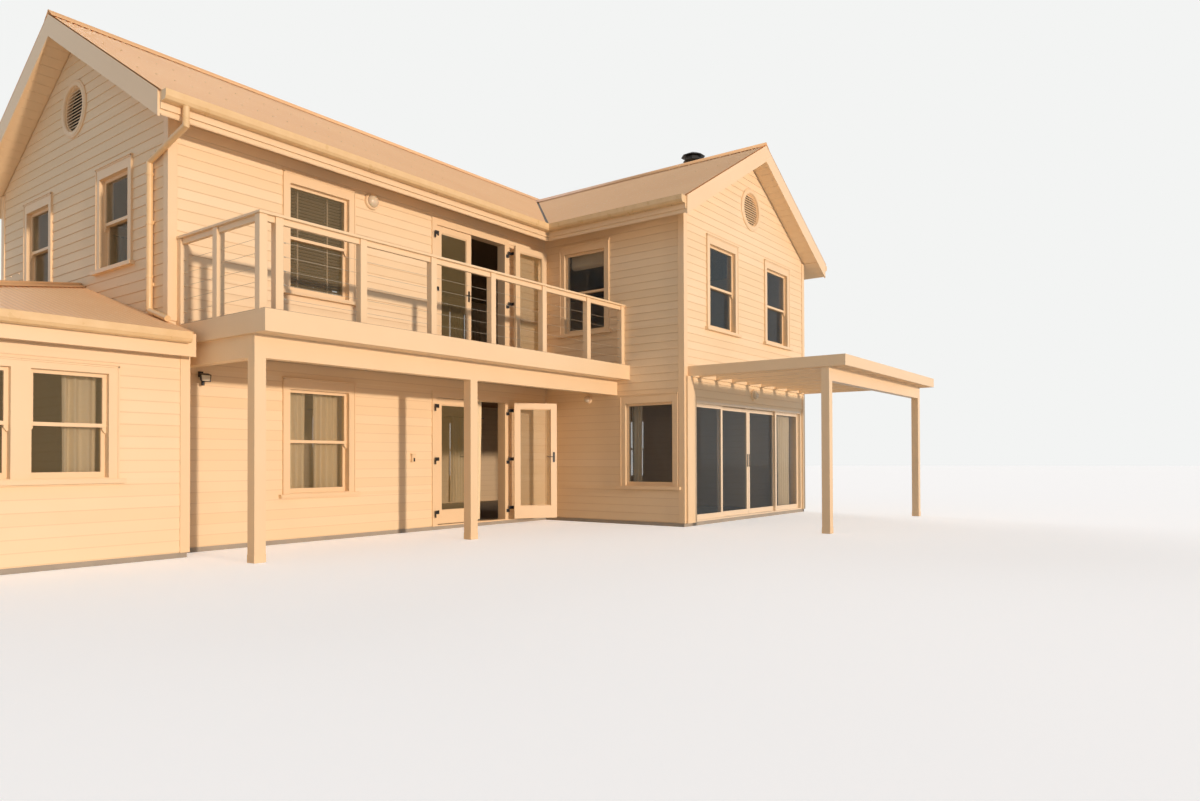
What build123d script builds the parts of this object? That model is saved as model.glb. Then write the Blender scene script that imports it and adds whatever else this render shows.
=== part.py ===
from build123d import *
from math import atan2, cos, degrees, hypot, pi, sin
import os

# A two-storey timber beach house. A long main wing runs along X, a cross wing stands forward
# at its right end under a gable of its own, and a low hipped wing leans on the left gable.
# A balcony fills the angle of the two big wings and a pergola stands before the cross wing.
# While it is laid out, X runs from the left gable wall, Y into the house from the front wall
# and Z up from the ground, all in millimetres. Each piece is then moved so that the origin
# lies under the middle of the whole house.

# Plan of the wings
main_length = 11940
main_depth = 5350
cross_width = 4985
cross_projection = 3000
low_width = 3350
low_projection = 450
wall_thickness = 150

# Heights of the storeys, from the ground up to the outer edge of the main roof
slab_top = 60
lower_ceiling = 2500
floor_depth = 260
upper_storey = 2585
ceiling_drop = 145
ceiling_thickness = 50

# Roofs, measured on their tops; the eaves are at the outer edge of each roof slab
main_roof_rise = 1875
cross_ridge_drop = 195
eaves_overhang = 435
verge_overhang = 315
roof_depth = 270
low_eaves_rise = 84
low_roof_rise = 926
low_overhang = 175
low_roof_depth = 180
low_gutter_end_gap = 100
board_thickness = 25
fascia_depth = 200
low_fascia_depth = 265
bargeboard_depth = 300
gutter_width = 120
gutter_metal = 3
downpipe_radius = 38
downpipe_place = 360
downpipe_standoff = 20
downpipe_clip_above_foot = 300

# Sash windows
casing_width = 95
casing_proud = 28
head_casing = 130
sill_depth = 50
sill_projection = 75
sill_horn = 55
lining_thickness = 12
sash_stile = 40
sash_top_rail = 40
sash_bottom_rail = 62
sash_thickness = 38
sash_setback = 35
glass_thickness = 6

# Round louvred vents
vent_radius = 310
vent_ring_width = 90
vent_ring_proud = 40
vent_blade_pitch = 96
vent_blade_thickness = 16
vent_blade_angle = 38
main_vent_drop = 1190
cross_vent_drop = 1155

# French doors, one pair in each storey
french_door_from_cross_wing = 1925
french_door_opening = 1580
lower_door_from_ceiling = 370
upper_door_part = 0.8356
door_jamb = 60
door_casing = 45
door_sill = 20
leaf_thickness = 44
leaf_gap = 5
leaf_meeting_gap = 12
leaf_floor_gap = 12
leaf_stile = 110
leaf_top_rail = 100
leaf_bottom_rail = 210
hinge_offset_out = 60
hinge_offset_side = 65
hinge_radius = 9
hinge_height = 110
hinge_from_end = 110
hinge_plate = 4
hinge_split = 0.3
lower_leaf_angle = 147
upper_leaf_angle = 176
handle_height = 1110
handle_plate_width = 36
handle_plate_height = 180
handle_plate_thickness = 6
handle_reach = 50
handle_thickness = 12
handle_length = 110

# Sliding doors of the cross wing
sliding_pier_left = 315
sliding_pier_right = 100
sliding_frame = 45
sliding_frame_depth = 140
sliding_frame_setback = 10
panel_thickness = 38
panel_track_gap = 10
panel_first_setback = 75
panel_stile = 62
panel_bottom_rail = 90
panel_lap = 50
panel_gap = 8
runner_gap = 0.3

# Balcony
deck_left = 88
deck_front = 1920
deck_step = 8
deck_depth = 245
beam_height = 257
beam_width = 136
beam_inset = 39
beam_setback = 270
middle_post_part = 0.4867
rail_height = 1068
rail_cap = 30
rail_cap_width = 110
rail_board_depth = 110
rail_board_thickness = 28
rail_post_width = 95
rail_post_depth = 45
rail_setback = 110
rail_post_first = 1380
rail_post_pitch = 1108
rail_side_middle = 905

# Pergola
pergola_inset_left = 115
pergola_inset_right = 40
pergola_front = 5690
pergola_rise = 175
pergola_rim_depth = 165
pergola_beam_depth = 215
pergola_beam_width = 120
pergola_beam_setback = 260
pergola_beam_notch = 5
pergola_post_width = 125
pergola_post_inset = 30
pergola_rafter_width = 45
pergola_rafter_depth = 140
pergola_rafter_first = 330
pergola_rafter_pitch = 600
pilaster_thickness = 60
pilaster_inset = 25
pilaster_neck_width = 170
pilaster_hollow = 35

# Roof flue and lamps
flue_from_ridge = 352
flue_from_front = 1450
flue_radius = 85
flue_above_ridge = 105
cowl_height = 270
cowl_radius = 245
cowl_foot_radius = 135
cowl_skirt_radius = 220
cowl_skirt_height = 76
cowl_neck_radius = 147
cowl_neck_height = 135
cowl_tip_radius = 98
lamp_depth = 110
lamp_radius = 70
upper_lamp_part = 0.425
upper_lamp_rise = 48
gable_lamp_from_ridge = 67
gable_lamp_rise = 209
side_lamp_from_wall = 1020
side_lamp_rise = 75


# Heights worked out from the storeys
upper_floor_top = lower_ceiling + floor_depth
eaves_height = upper_floor_top + upper_storey
upper_ceiling = eaves_height - ceiling_drop
main_ridge_height = eaves_height + main_roof_rise
cross_ridge_height = main_ridge_height - cross_ridge_drop
low_eaves_height = lower_ceiling + low_eaves_rise
low_roof_peak = low_eaves_height + low_roof_rise
lower_door_top = lower_ceiling - lower_door_from_ceiling
upper_door_top = upper_floor_top + upper_door_part * upper_storey
sliding_top = lower_door_top
deck_top = upper_floor_top - deck_step
deck_bottom = deck_top - deck_depth
rail_top = deck_top + rail_height
pergola_top = lower_ceiling + pergola_rise
flue_top = cross_ridge_height + flue_above_ridge

# Lines worked out from the plan: the cross wing's left wall and the two ridges
cross_left = main_length - cross_width
cross_ridge = main_length - cross_width / 2
main_ridge = main_depth / 2
low_front = -low_projection
low_peak_y = (main_depth + low_front) / 2
main_eaves = -eaves_overhang
cross_eaves = cross_left - eaves_overhang
verge_left = -verge_overhang
verge_right = main_length + verge_overhang
verge_front = -cross_projection - verge_overhang
low_eaves_front = low_front - low_overhang
low_eaves_left = -low_width - low_overhang
low_eaves_rear = main_depth + low_overhang
main_slope = (main_ridge_height - eaves_height) / (main_ridge + eaves_overhang)
cross_slope = (cross_ridge_height - eaves_height) / (cross_ridge - cross_eaves)
low_slope = (low_roof_peak - low_eaves_height) / (low_peak_y - low_eaves_front)
low_left_slope = (low_roof_peak - low_eaves_height) / -low_eaves_left

# Places tied to the cross wing and to the ridges
french_door_middle = cross_left - french_door_from_cross_wing
sliding_left = cross_left + sliding_pier_left
sliding_right = main_length - sliding_pier_right
pergola_left = cross_left + pergola_inset_left
pergola_right = main_length - pergola_inset_right
pilaster_left = cross_left + pilaster_inset
pilaster_neck = pilaster_left + pilaster_neck_width
main_vent_height = main_ridge_height - main_vent_drop
cross_vent_height = cross_ridge_height - cross_vent_drop
flue_x = cross_ridge + flue_from_ridge
flue_y = flue_from_front - cross_projection
beam_left = deck_left + beam_inset
beam_front = deck_front - beam_setback
pergola_beam_front = pergola_front - pergola_beam_setback

# The origin: the middle of the ground that the house with its gutters and pergola covers
house_left = low_eaves_left - board_thickness - gutter_width
house_right = main_length + eaves_overhang + board_thickness + gutter_width
house_front = -pergola_front
house_rear = main_depth + eaves_overhang + board_thickness + gutter_width
to_origin = Pos(-(house_left + house_right) / 2, -(house_front + house_rear) / 2, 0)

os.makedirs("parts", exist_ok=True)


def keep(name, *pieces):
    """Write one node: a solid, or several like solids that are fixed apart."""
    solids = []
    for piece in pieces:
        solids.extend((to_origin * piece).solids())
    shape = solids[0] if len(solids) == 1 else Compound(solids)
    export_step(shape, f"parts/{name}.step")


def block(x0, x1, y0, y1, z0, z1):
    """A straight block between two opposite corners."""
    return Pos(x0, y0, z0) * Box(x1 - x0, y1 - y0, z1 - z0, align=Align.MIN)


def span(a, b):
    """Two places in rising order."""
    return min(a, b), max(a, b)


def sloping_slab(plan, height_at, thickness):
    """A slab of even upright thickness whose top is the plane height_at(x, y)."""
    corners = [(x, y, height_at(x, y)) for x, y in plan]
    return extrude(Face(Wire.make_polygon(corners)), amount=thickness, dir=(0, 0, -1))


# Heights of the roof planes over a point of the plan
def main_front_height(x, y):
    return main_ridge_height - main_slope * (main_ridge - y)


def main_rear_height(x, y):
    return main_ridge_height - main_slope * (y - main_ridge)


def cross_left_height(x, y):
    return cross_ridge_height - cross_slope * (cross_ridge - x)


def cross_right_height(x, y):
    return cross_ridge_height - cross_slope * (x - cross_ridge)


def low_front_height(x, y):
    return low_roof_peak - low_slope * (low_peak_y - y)


def low_rear_height(x, y):
    return low_roof_peak - low_slope * (y - low_peak_y)


def low_left_height(x, y):
    return low_roof_peak + low_left_slope * x


# Plans of the roof slabs. The valleys are where the main front plane and the cross planes
# are equally high: they leave the eaves' inner corners and meet where the cross ridge runs
# into the main slope.
valley_top = main_ridge - (main_ridge_height - cross_ridge_height) / main_slope
cross_right_eaves = 2 * cross_ridge - cross_eaves
valley_at_verge = main_ridge - (main_ridge_height - cross_right_height(verge_right, 0)) / main_slope
main_front_plan = [
    (verge_left, main_eaves),
    (cross_eaves, main_eaves),
    (cross_ridge, valley_top),
    (verge_right, valley_at_verge),
    (verge_right, main_ridge),
    (verge_left, main_ridge),
]
main_rear_eaves = main_depth + eaves_overhang
main_rear_plan = [
    (verge_left, main_ridge),
    (verge_right, main_ridge),
    (verge_right, main_rear_eaves),
    (verge_left, main_rear_eaves),
]
cross_left_plan = [
    (cross_eaves, verge_front),
    (cross_ridge, verge_front),
    (cross_ridge, valley_top),
    (cross_eaves, main_eaves),
]
cross_right_plan = [
    (cross_ridge, verge_front),
    (cross_right_eaves, verge_front),
    (cross_right_eaves, main_eaves),
    (cross_ridge, valley_top),
]
low_front_plan = [
    (low_eaves_left, low_eaves_front),
    (0, low_eaves_front),
    (0, low_peak_y),
]
low_left_plan = [
    (low_eaves_left, low_eaves_front),
    (0, low_peak_y),
    (low_eaves_left, low_eaves_rear),
]
low_rear_plan = [
    (low_eaves_left, low_eaves_rear),
    (0, low_peak_y),
    (0, low_eaves_rear),
]
big_slopes = [
    (main_front_plan, main_front_height),
    (main_rear_plan, main_rear_height),
    (cross_left_plan, cross_left_height),
    (cross_right_plan, cross_right_height),
]
low_slopes = [
    (low_front_plan, low_front_height),
    (low_left_plan, low_left_height),
    (low_rear_plan, low_rear_height),
]


def under_roof(wall, slopes, depth):
    """Cut a wall that was drawn too tall so that it fits under the roof slabs."""
    for plan, height_at in slopes:
        above = extrude(
            Face(Wire.make_polygon([(x, y, height_at(x, y) - depth) for x, y in plan])),
            amount=main_ridge_height,
            dir=(0, 0, 1),
        )
        wall = wall - above
    return wall


def big_wall(x0, x1, y0, y1):
    return under_roof(block(x0, x1, y0, y1, slab_top, main_ridge_height), big_slopes, roof_depth)


def low_wall(x0, x1, y0, y1):
    return under_roof(block(x0, x1, y0, y1, slab_top, low_roof_peak), low_slopes, low_roof_depth)


# Where a wall's outer face stands: a place on it is (along, depth into the wall, height)
main_front_face = Location((0, 0, 0))
cross_front_face = Location((0, -cross_projection, 0))
low_front_face = Location((0, low_front, 0))
rear_face = Location((0, main_depth, 0), (0, 0, 180))
left_face = Location((0, 0, 0), (0, 0, -90))
cross_side_face = Location((cross_left, 0, 0), (0, 0, -90))
right_face = Location((main_length, 0, 0), (0, 0, 90))


def opening(face, middle, width, sill, head):
    """The block that a window cuts out of its wall."""
    return face * block(middle - width / 2, middle + width / 2, 0, wall_thickness, sill, head)


def sash(x0, x1, setback, z0, z1, top_rail, bottom_rail):
    """One sliding sash and its pane."""
    back = setback + sash_thickness
    glass_x0 = x0 + sash_stile
    glass_x1 = x1 - sash_stile
    glass_z0 = z0 + bottom_rail
    glass_z1 = z1 - top_rail
    ring = block(x0, x1, setback, back, z0, z1)
    ring = ring - block(glass_x0, glass_x1, setback, back, glass_z0, glass_z1)
    glass_front = setback + (sash_thickness - glass_thickness) / 2
    glass_back = glass_front + glass_thickness
    return ring, block(glass_x0, glass_x1, glass_front, glass_back, glass_z0, glass_z1)


def window(face, middle, width, sill, head, rail, head_board=head_casing):
    """A window: casing boards and sill on the wall, a lining in it, and two sashes, or one
    fixed light where it has no meeting rail."""
    left = middle - width / 2
    right = middle + width / 2
    hole = block(left, right, -casing_proud, wall_thickness, sill, head)
    casing_left = left - casing_width
    casing_right = right + casing_width
    frame = block(casing_left, casing_right, -casing_proud, 0, sill, head + head_board) - hole
    frame += block(
        casing_left - sill_horn,
        casing_right + sill_horn,
        -sill_projection,
        0,
        sill - sill_depth,
        sill,
    )
    inner_left = left + lining_thickness
    inner_right = right - lining_thickness
    inner_sill = sill + lining_thickness
    inner_head = head - lining_thickness
    light = block(inner_left, inner_right, -casing_proud, wall_thickness, inner_sill, inner_head)
    frame += hole - light
    lap = sash_top_rail / 2
    if rail is None:
        sashes = [(sash_setback, inner_sill, inner_head, sash_bottom_rail)]
    else:
        sashes = [
            (sash_setback, rail - lap, inner_head, sash_top_rail),
            (sash_setback + sash_thickness, inner_sill, rail + lap, sash_bottom_rail),
        ]
    panes = []
    for setback, bottom, top, bottom_rail in sashes:
        ring, pane = sash(inner_left, inner_right, setback, bottom, top, sash_top_rail, bottom_rail)
        frame += ring
        panes.append(pane)
    return face * frame, face * (Part() + panes)


# Window heights: parts of the upper storey, and drops below the lower ceiling. Each row is
# sill, head and meeting rail.
upper_heights = [upper_floor_top + part * upper_storey for part in (0.2553, 0.8279, 0.5416)]
gable_heights = [upper_floor_top + part * upper_storey for part in (0.3443, 0.8162, 0.5822)]
lower_heights = [lower_ceiling - drop for drop in (1835, 400, 1120)]
low_wing_heights = [lower_ceiling - drop for drop in (1570, 430, 1000)]

# Windows: middle along the face, width, sill, head and meeting rail of the opening
main_width = 970
cross_front_width = 980
cross_upper_width = 930
gable_width = 840
low_wing_width = 754
front_window_part = 0.299
main_gable_spread = 1250
cross_gable_spread = 1150
low_window_spread = 452
cross_lower_from_corner = 690
cross_upper_from_wall = 930
low_head_board = 75
left_gable_windows = [
    (-main_ridge + main_gable_spread, gable_width, *gable_heights),
    (-main_ridge - main_gable_spread, gable_width, *gable_heights),
]
front_window = front_window_part * cross_left
front_windows = [(front_window, main_width, *lower_heights), (front_window, main_width, *upper_heights)]
cross_side_windows = [
    (cross_projection - cross_lower_from_corner, cross_front_width, *lower_heights[:2], None),
    (cross_upper_from_wall, cross_upper_width, *upper_heights),
]
cross_front_windows = [
    (cross_ridge - cross_gable_spread, cross_front_width, *upper_heights),
    (cross_ridge + cross_gable_spread, cross_front_width, *upper_heights),
]
low_front_windows = [
    (-low_width / 2 - low_window_spread, low_wing_width, *low_wing_heights),
    (-low_width / 2 + low_window_spread, low_wing_width, *low_wing_heights),
]
rear_windows = []
for place in (-front_window, -main_length / 2, front_window - main_length):
    rear_windows.append((place, main_width, *lower_heights))
    rear_windows.append((place, main_width, *upper_heights))
right_windows = []
for place in (main_ridge - main_gable_spread, main_ridge + main_gable_spread):
    right_windows.append((place, gable_width, *lower_heights))
    right_windows.append((place, gable_width, *gable_heights))


def cut_windows(wall, face, windows):
    for middle, width, sill, head, rail in windows:
        wall = wall - opening(face, middle, width, sill, head)
    return wall


def fit_windows(face, windows, head_board=head_casing):
    """The frames and panes of a row of windows, each frame one solid."""
    frames = []
    panes = []
    for middle, width, sill, head, rail in windows:
        frame, pane = window(face, middle, width, sill, head, rail, head_board)
        frames.append(frame)
        panes.append(pane)
    return frames, panes


# Ground slab: one thin slab under the three wings
ground_slab = block(0, main_length, 0, main_depth, 0, slab_top)
ground_slab += block(cross_left, main_length, -cross_projection, 0, 0, slab_top)
ground_slab += block(-low_width, 0, low_front, main_depth, 0, slab_top)
keep("ground_slab", ground_slab)

# Front wall of the main wing, split beside and over the two French doors
door_left = french_door_middle - french_door_opening / 2 - door_jamb
door_right = french_door_middle + french_door_opening / 2 + door_jamb
front_wall_end = cross_left + wall_thickness
lower_frame_top = lower_door_top + door_jamb
upper_frame_top = upper_door_top + door_jamb
front_wall_left = big_wall(wall_thickness, door_left, 0, wall_thickness)
keep("front_wall_left", cut_windows(front_wall_left, main_front_face, front_windows))
keep("front_wall_right", big_wall(door_right, front_wall_end, 0, wall_thickness))
over_upper_door = big_wall(door_left, door_right, 0, wall_thickness)
over_upper_door -= block(door_left, door_right, 0, wall_thickness, slab_top, upper_frame_top)
keep(
    "front_wall_middle",
    block(door_left, door_right, 0, wall_thickness, lower_frame_top, upper_floor_top),
    over_upper_door,
)

# Left gable wall, with its round vent and the passage to the low wing
passage_width = 900
passage_near = main_ridge - passage_width / 2
passage_far = main_ridge + passage_width / 2
passage_top = lower_door_top
left_gable = big_wall(0, wall_thickness, 0, main_depth)
left_gable = cut_windows(left_gable, left_face, left_gable_windows)
left_gable -= block(0, wall_thickness, passage_near, passage_far, slab_top, passage_top)
from_front = (Align.CENTER, Align.CENTER, Align.MAX)
vent_bore = Rot(90, 0, 0) * Cylinder(vent_radius, wall_thickness, align=from_front)
main_vent_bore = left_face * Pos(-main_ridge, 0, main_vent_height) * vent_bore
cross_vent_bore = cross_front_face * Pos(cross_ridge, 0, cross_vent_height) * vent_bore
keep("left_gable_wall", left_gable - main_vent_bore)

# Rear and right walls
rear_wall = big_wall(wall_thickness, main_length - wall_thickness, main_depth - wall_thickness, main_depth)
keep("rear_wall", cut_windows(rear_wall, rear_face, rear_windows))
right_inner = main_length - wall_thickness
right_gable = big_wall(right_inner, main_length, 0, main_depth)
keep("right_gable_wall", cut_windows(right_gable, right_face, right_windows))
cross_front_inner = -cross_projection + wall_thickness
keep("cross_right_wall", big_wall(right_inner, main_length, cross_front_inner, 0))

# Walls of the cross wing: the left side, two piers beside the sliding doors and the gable
cross_side = big_wall(cross_left, cross_left + wall_thickness, cross_front_inner, 0)
keep("cross_side_wall", cut_windows(cross_side, cross_side_face, cross_side_windows))
keep(
    "cross_front_piers",
    block(cross_left, sliding_left, -cross_projection, cross_front_inner, slab_top, sliding_top),
    block(sliding_right, main_length, -cross_projection, cross_front_inner, slab_top, sliding_top),
)
cross_gable = big_wall(cross_left, main_length, -cross_projection, cross_front_inner)
cross_gable -= block(cross_left, main_length, -cross_projection, cross_front_inner, slab_top, sliding_top)
cross_gable = cut_windows(cross_gable, cross_front_face, cross_front_windows)
keep("cross_gable_wall", cross_gable - cross_vent_bore)

# Walls of the low wing
low_inner_left = -low_width + wall_thickness
low_front_inner = low_front + wall_thickness
low_front_wall = low_wall(-low_width, 0, low_front, low_front_inner)
low_return_wall = low_wall(-wall_thickness, 0, low_front_inner, 0)
keep("low_front_wall", cut_windows(low_front_wall, low_front_face, low_front_windows), low_return_wall)
keep("low_left_wall", low_wall(-low_width, low_inner_left, low_front_inner, main_depth - wall_thickness))
keep("low_rear_wall", low_wall(-low_width, 0, main_depth - wall_thickness, main_depth))

# Floor and ceiling of the upper storey, between the outer walls
for name, bottom, top in (
    ("upper_floor", lower_ceiling, upper_floor_top),
    ("upper_ceiling", upper_ceiling, upper_ceiling + ceiling_thickness),
):
    plate = block(wall_thickness, right_inner, wall_thickness, main_depth - wall_thickness, bottom, top)
    plate += block(cross_left + wall_thickness, right_inner, cross_front_inner, wall_thickness, bottom, top)
    keep(name, plate)

# Roof slabs
main_front_slab = sloping_slab(main_front_plan, main_front_height, roof_depth)
cross_right_slab = sloping_slab(cross_right_plan, cross_right_height, roof_depth)
keep("main_roof_front", main_front_slab)
keep("main_roof_rear", sloping_slab(main_rear_plan, main_rear_height, roof_depth))
keep("cross_roof_left", sloping_slab(cross_left_plan, cross_left_height, roof_depth))
keep("cross_roof_right", cross_right_slab)
low_slabs = [sloping_slab(plan, height_at, low_roof_depth) for plan, height_at in low_slopes]
keep("low_roof", *low_slabs)

# Bargeboards: one straight board under each verge
boards = []
for x0, x1, start in (
    (verge_left - board_thickness, verge_left, main_eaves),
    (verge_right, verge_right + board_thickness, valley_at_verge),
):
    front_plan = [(x0, start), (x1, start), (x1, main_ridge), (x0, main_ridge)]
    rear_plan = [(x0, main_ridge), (x1, main_ridge), (x1, main_rear_eaves), (x0, main_rear_eaves)]
    boards.append(sloping_slab(front_plan, main_front_height, bargeboard_depth))
    boards.append(sloping_slab(rear_plan, main_rear_height, bargeboard_depth))
barge_front = verge_front - board_thickness
for x0, x1, height_at in (
    (cross_eaves, cross_ridge, cross_left_height),
    (cross_ridge, cross_right_eaves, cross_right_height),
):
    plan = [(x0, barge_front), (x1, barge_front), (x1, verge_front), (x0, verge_front)]
    boards.append(sloping_slab(plan, height_at, bargeboard_depth))
keep("bargeboards", *boards)

# Fascias along the eaves and the gutters hung on them
fascia_top = eaves_height - main_slope * board_thickness
fascia_bottom = fascia_top - fascia_depth
low_fascia_top = low_eaves_height - low_slope * board_thickness
low_fascia_bottom = low_fascia_top - low_fascia_depth
rear_board = main_rear_eaves + board_thickness
cross_right_board = cross_right_eaves + board_thickness
low_left_board = low_eaves_left - board_thickness
low_front_board = low_eaves_front - board_thickness
low_rear_board = low_eaves_rear + board_thickness
main_gutter_end = cross_eaves - board_thickness
low_gutter_end = -low_gutter_end_gap
keep(
    "fascias",
    block(verge_left, main_gutter_end, main_eaves - board_thickness, main_eaves, fascia_bottom, fascia_top),
    block(verge_left, verge_right, main_rear_eaves, rear_board, fascia_bottom, fascia_top),
    block(main_gutter_end, cross_eaves, verge_front, main_eaves, fascia_bottom, fascia_top),
    block(cross_right_eaves, cross_right_board, verge_front, main_eaves, fascia_bottom, fascia_top),
    block(low_left_board, 0, low_front_board, low_eaves_front, low_fascia_bottom, low_fascia_top),
    block(low_left_board, low_eaves_left, low_eaves_front, low_eaves_rear, low_fascia_bottom, low_fascia_top),
    block(low_left_board, 0, low_eaves_rear, low_rear_board, low_fascia_bottom, low_fascia_top),
)


def gutter(start, end, top):
    """A half-round gutter with closed ends; its back lies on the fascia on the left of the way."""
    radius = gutter_width / 2
    way = Vector(*end) - Vector(*start)
    profile = Circle(radius) & Pos(0, -radius / 2) * Rectangle(gutter_width, radius)
    hollow = offset(Circle(radius), -gutter_metal) & Pos(0, -radius / 2) * Rectangle(gutter_width, radius)
    length = way.length
    trough = extrude(profile, amount=length)
    trough -= Pos(0, 0, gutter_metal) * extrude(hollow, amount=length - 2 * gutter_metal)
    upright = Rot(0, 0, 90) * Rot(90, 0, 0) * trough
    turned = Rot(0, 0, degrees(atan2(way.Y, way.X))) * Pos(0, -radius, 0) * upright
    return Pos(start[0], start[1], top) * turned


main_gutter_front = main_eaves - board_thickness
low_gutter_left = low_left_board - gutter_width
gutters = [
    gutter((verge_left, main_gutter_front), (main_gutter_end - gutter_width, main_gutter_front), fascia_top),
    gutter((main_gutter_end, main_gutter_front), (main_gutter_end, verge_front), fascia_top),
    gutter((cross_right_board, verge_front), (cross_right_board, main_eaves), fascia_top),
    gutter((verge_right, rear_board), (verge_left, rear_board), fascia_top),
    gutter((low_gutter_left, low_front_board), (low_gutter_end, low_front_board), low_fascia_top),
    gutter((low_left_board, low_rear_board), (low_left_board, low_front_board), low_fascia_top),
    gutter((0, low_rear_board), (low_gutter_left, low_rear_board), low_fascia_top),
]

# Downpipe: from the front gutter under the eaves to the gable wall, then down to the low roof
pipe_axis = -(downpipe_radius + downpipe_standoff)
pipe_gutter_y = main_gutter_front - gutter_width / 2
pipe_foot = low_front_height(pipe_axis, downpipe_place) + 2 * downpipe_radius
eaves_underside = eaves_height - roof_depth
pipe_route = Polyline(
    (pipe_axis, pipe_gutter_y, fascia_top - gutter_width / 4),
    (pipe_axis, pipe_gutter_y, eaves_underside - 2 * downpipe_radius),
    (pipe_axis, downpipe_place, eaves_underside - 8 * downpipe_radius),
    (pipe_axis, downpipe_place, pipe_foot),
)
pipe_mouth = Plane(origin=pipe_route @ 0, z_dir=pipe_route % 0) * Circle(downpipe_radius)
pipe = sweep(pipe_mouth, path=pipe_route, transition=Transition.RIGHT)
gutter_bore = Rot(0, 90, 0) * Cylinder(gutter_width / 2, main_length)
pipe -= Pos(pipe_axis, pipe_gutter_y, fascia_top) * gutter_bore
for height in (pipe_foot + downpipe_clip_above_foot, (pipe_foot + eaves_underside) / 2):
    pipe += block(
        pipe_axis,
        0,
        downpipe_place - downpipe_radius / 2,
        downpipe_place + downpipe_radius / 2,
        height,
        height + downpipe_radius,
    )
keep("gutters", *gutters, pipe)

# Roof flue: a pipe cut to the slope, and an eight-sided cowl with a hipped cap
flue_start = cross_right_height(flue_x, flue_y) - flue_radius
flue = Pos(flue_x, flue_y, flue_start) * Cylinder(
    flue_radius, flue_top - flue_start, align=(Align.CENTER, Align.CENTER, Align.MIN)
)
keep("roof_flue", flue - cross_right_slab)


def eight_sided(low_radius, low, high_radius, high):
    """One stage of the cowl: an eight-sided cone cut off flat."""
    corners = [(cos(step * pi / 4), sin(step * pi / 4)) for step in range(8)]
    foot = [(low_radius * x, low_radius * y, low) for x, y in corners]
    head = [(high_radius * x, high_radius * y, high) for x, y in corners]
    faces = [Face(Wire.make_polygon(foot)), Face(Wire.make_polygon(head))]
    for step in range(8):
        after = (step + 1) % 8
        faces.append(Face(Wire.make_polygon([foot[step], foot[after], head[after], head[step]])))
    return Solid(Shell(faces))


cowl = eight_sided(cowl_foot_radius, 0, cowl_skirt_radius, cowl_skirt_height)
cowl += eight_sided(cowl_skirt_radius, cowl_skirt_height, cowl_neck_radius, cowl_neck_height)
cowl += eight_sided(cowl_radius, cowl_neck_height, cowl_tip_radius, cowl_height)
keep("flue_cowl", Pos(flue_x, flue_y, flue_top) * cowl)


def round_vent():
    """A ring with tilted blades trimmed to its bore; the wall face is the plane y = 0."""
    outer = Circle(vent_radius + vent_ring_width)
    ring = extrude(outer - Circle(vent_radius), amount=vent_ring_proud)
    sleeve_face = Circle(vent_radius) - Circle(vent_radius - vent_blade_thickness)
    sleeve = Pos(0, 0, vent_ring_proud) * extrude(sleeve_face, amount=-wall_thickness - vent_ring_proud)
    blade = Box(2 * vent_radius, vent_blade_thickness, wall_thickness * 0.9)
    bore = extrude(Circle(vent_radius - vent_blade_thickness / 2), amount=-wall_thickness)
    vent = ring + sleeve
    count = int((vent_radius - vent_blade_pitch / 2) / vent_blade_pitch)
    for step in range(-count, count + 1):
        place = Pos(0, step * vent_blade_pitch, -wall_thickness / 2) * Rot(-vent_blade_angle, 0, 0)
        vent += place * blade & bore
    return Rot(90, 0, 0) * vent


keep(
    "gable_vents",
    left_face * Pos(-main_ridge, 0, main_vent_height) * round_vent(),
    cross_front_face * Pos(cross_ridge, 0, cross_vent_height) * round_vent(),
)

# Sash windows
gable_frames, gable_panes = fit_windows(left_face, left_gable_windows)
front_frames, front_panes = fit_windows(main_front_face, front_windows)
rear_frames, rear_panes = fit_windows(rear_face, rear_windows)
right_frames, right_panes = fit_windows(right_face, right_windows)
keep("main_window_frames", *gable_frames, *front_frames, *rear_frames, *right_frames)
side_frames, side_panes = fit_windows(cross_side_face, cross_side_windows)
cross_frames, cross_panes = fit_windows(cross_front_face, cross_front_windows)
keep("cross_window_frames", *side_frames, *cross_frames)
low_frames, low_panes = fit_windows(low_front_face, low_front_windows, low_head_board)
keep("low_window_frame", low_frames[0] + low_frames[1])


def door_frame(bottom, top):
    """Jambs, head, sill and casing of a pair of French doors; the leaves open outwards."""
    left = french_door_middle - french_door_opening / 2
    right = french_door_middle + french_door_opening / 2
    frame = block(left - door_jamb, right + door_jamb, 0, wall_thickness, bottom, top + door_jamb)
    frame += block(
        left - door_jamb - door_casing,
        right + door_jamb + door_casing,
        -casing_proud,
        0,
        bottom,
        top + door_jamb + door_casing,
    )
    return frame - block(left, right, -casing_proud, wall_thickness, bottom + door_sill, top)


def door_leaf(side, bottom, top):
    """One leaf, shut, with its pane; side is -1 for the left leaf and 1 for the right."""
    near = leaf_meeting_gap / 2
    far = french_door_opening / 2 - leaf_gap
    low = bottom + door_sill + leaf_floor_gap
    high = top - leaf_gap
    x0 = min(side * near, side * far)
    x1 = max(side * near, side * far)
    ring = block(x0, x1, 0, leaf_thickness, low, high)
    glass_z = (low + leaf_bottom_rail, high - leaf_top_rail)
    glass_hole = block(x0 + leaf_stile, x1 - leaf_stile, 0, leaf_thickness, *glass_z)
    glass_y = (leaf_thickness - glass_thickness) / 2
    pane = block(x0 + leaf_stile, x1 - leaf_stile, glass_y, glass_y + glass_thickness, *glass_z)
    place = Pos(french_door_middle, 0, 0)
    return place * (ring - glass_hole), place * pane


def hinge_axis(side):
    return french_door_middle + side * (french_door_opening / 2 + hinge_offset_side), -hinge_offset_out


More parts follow.
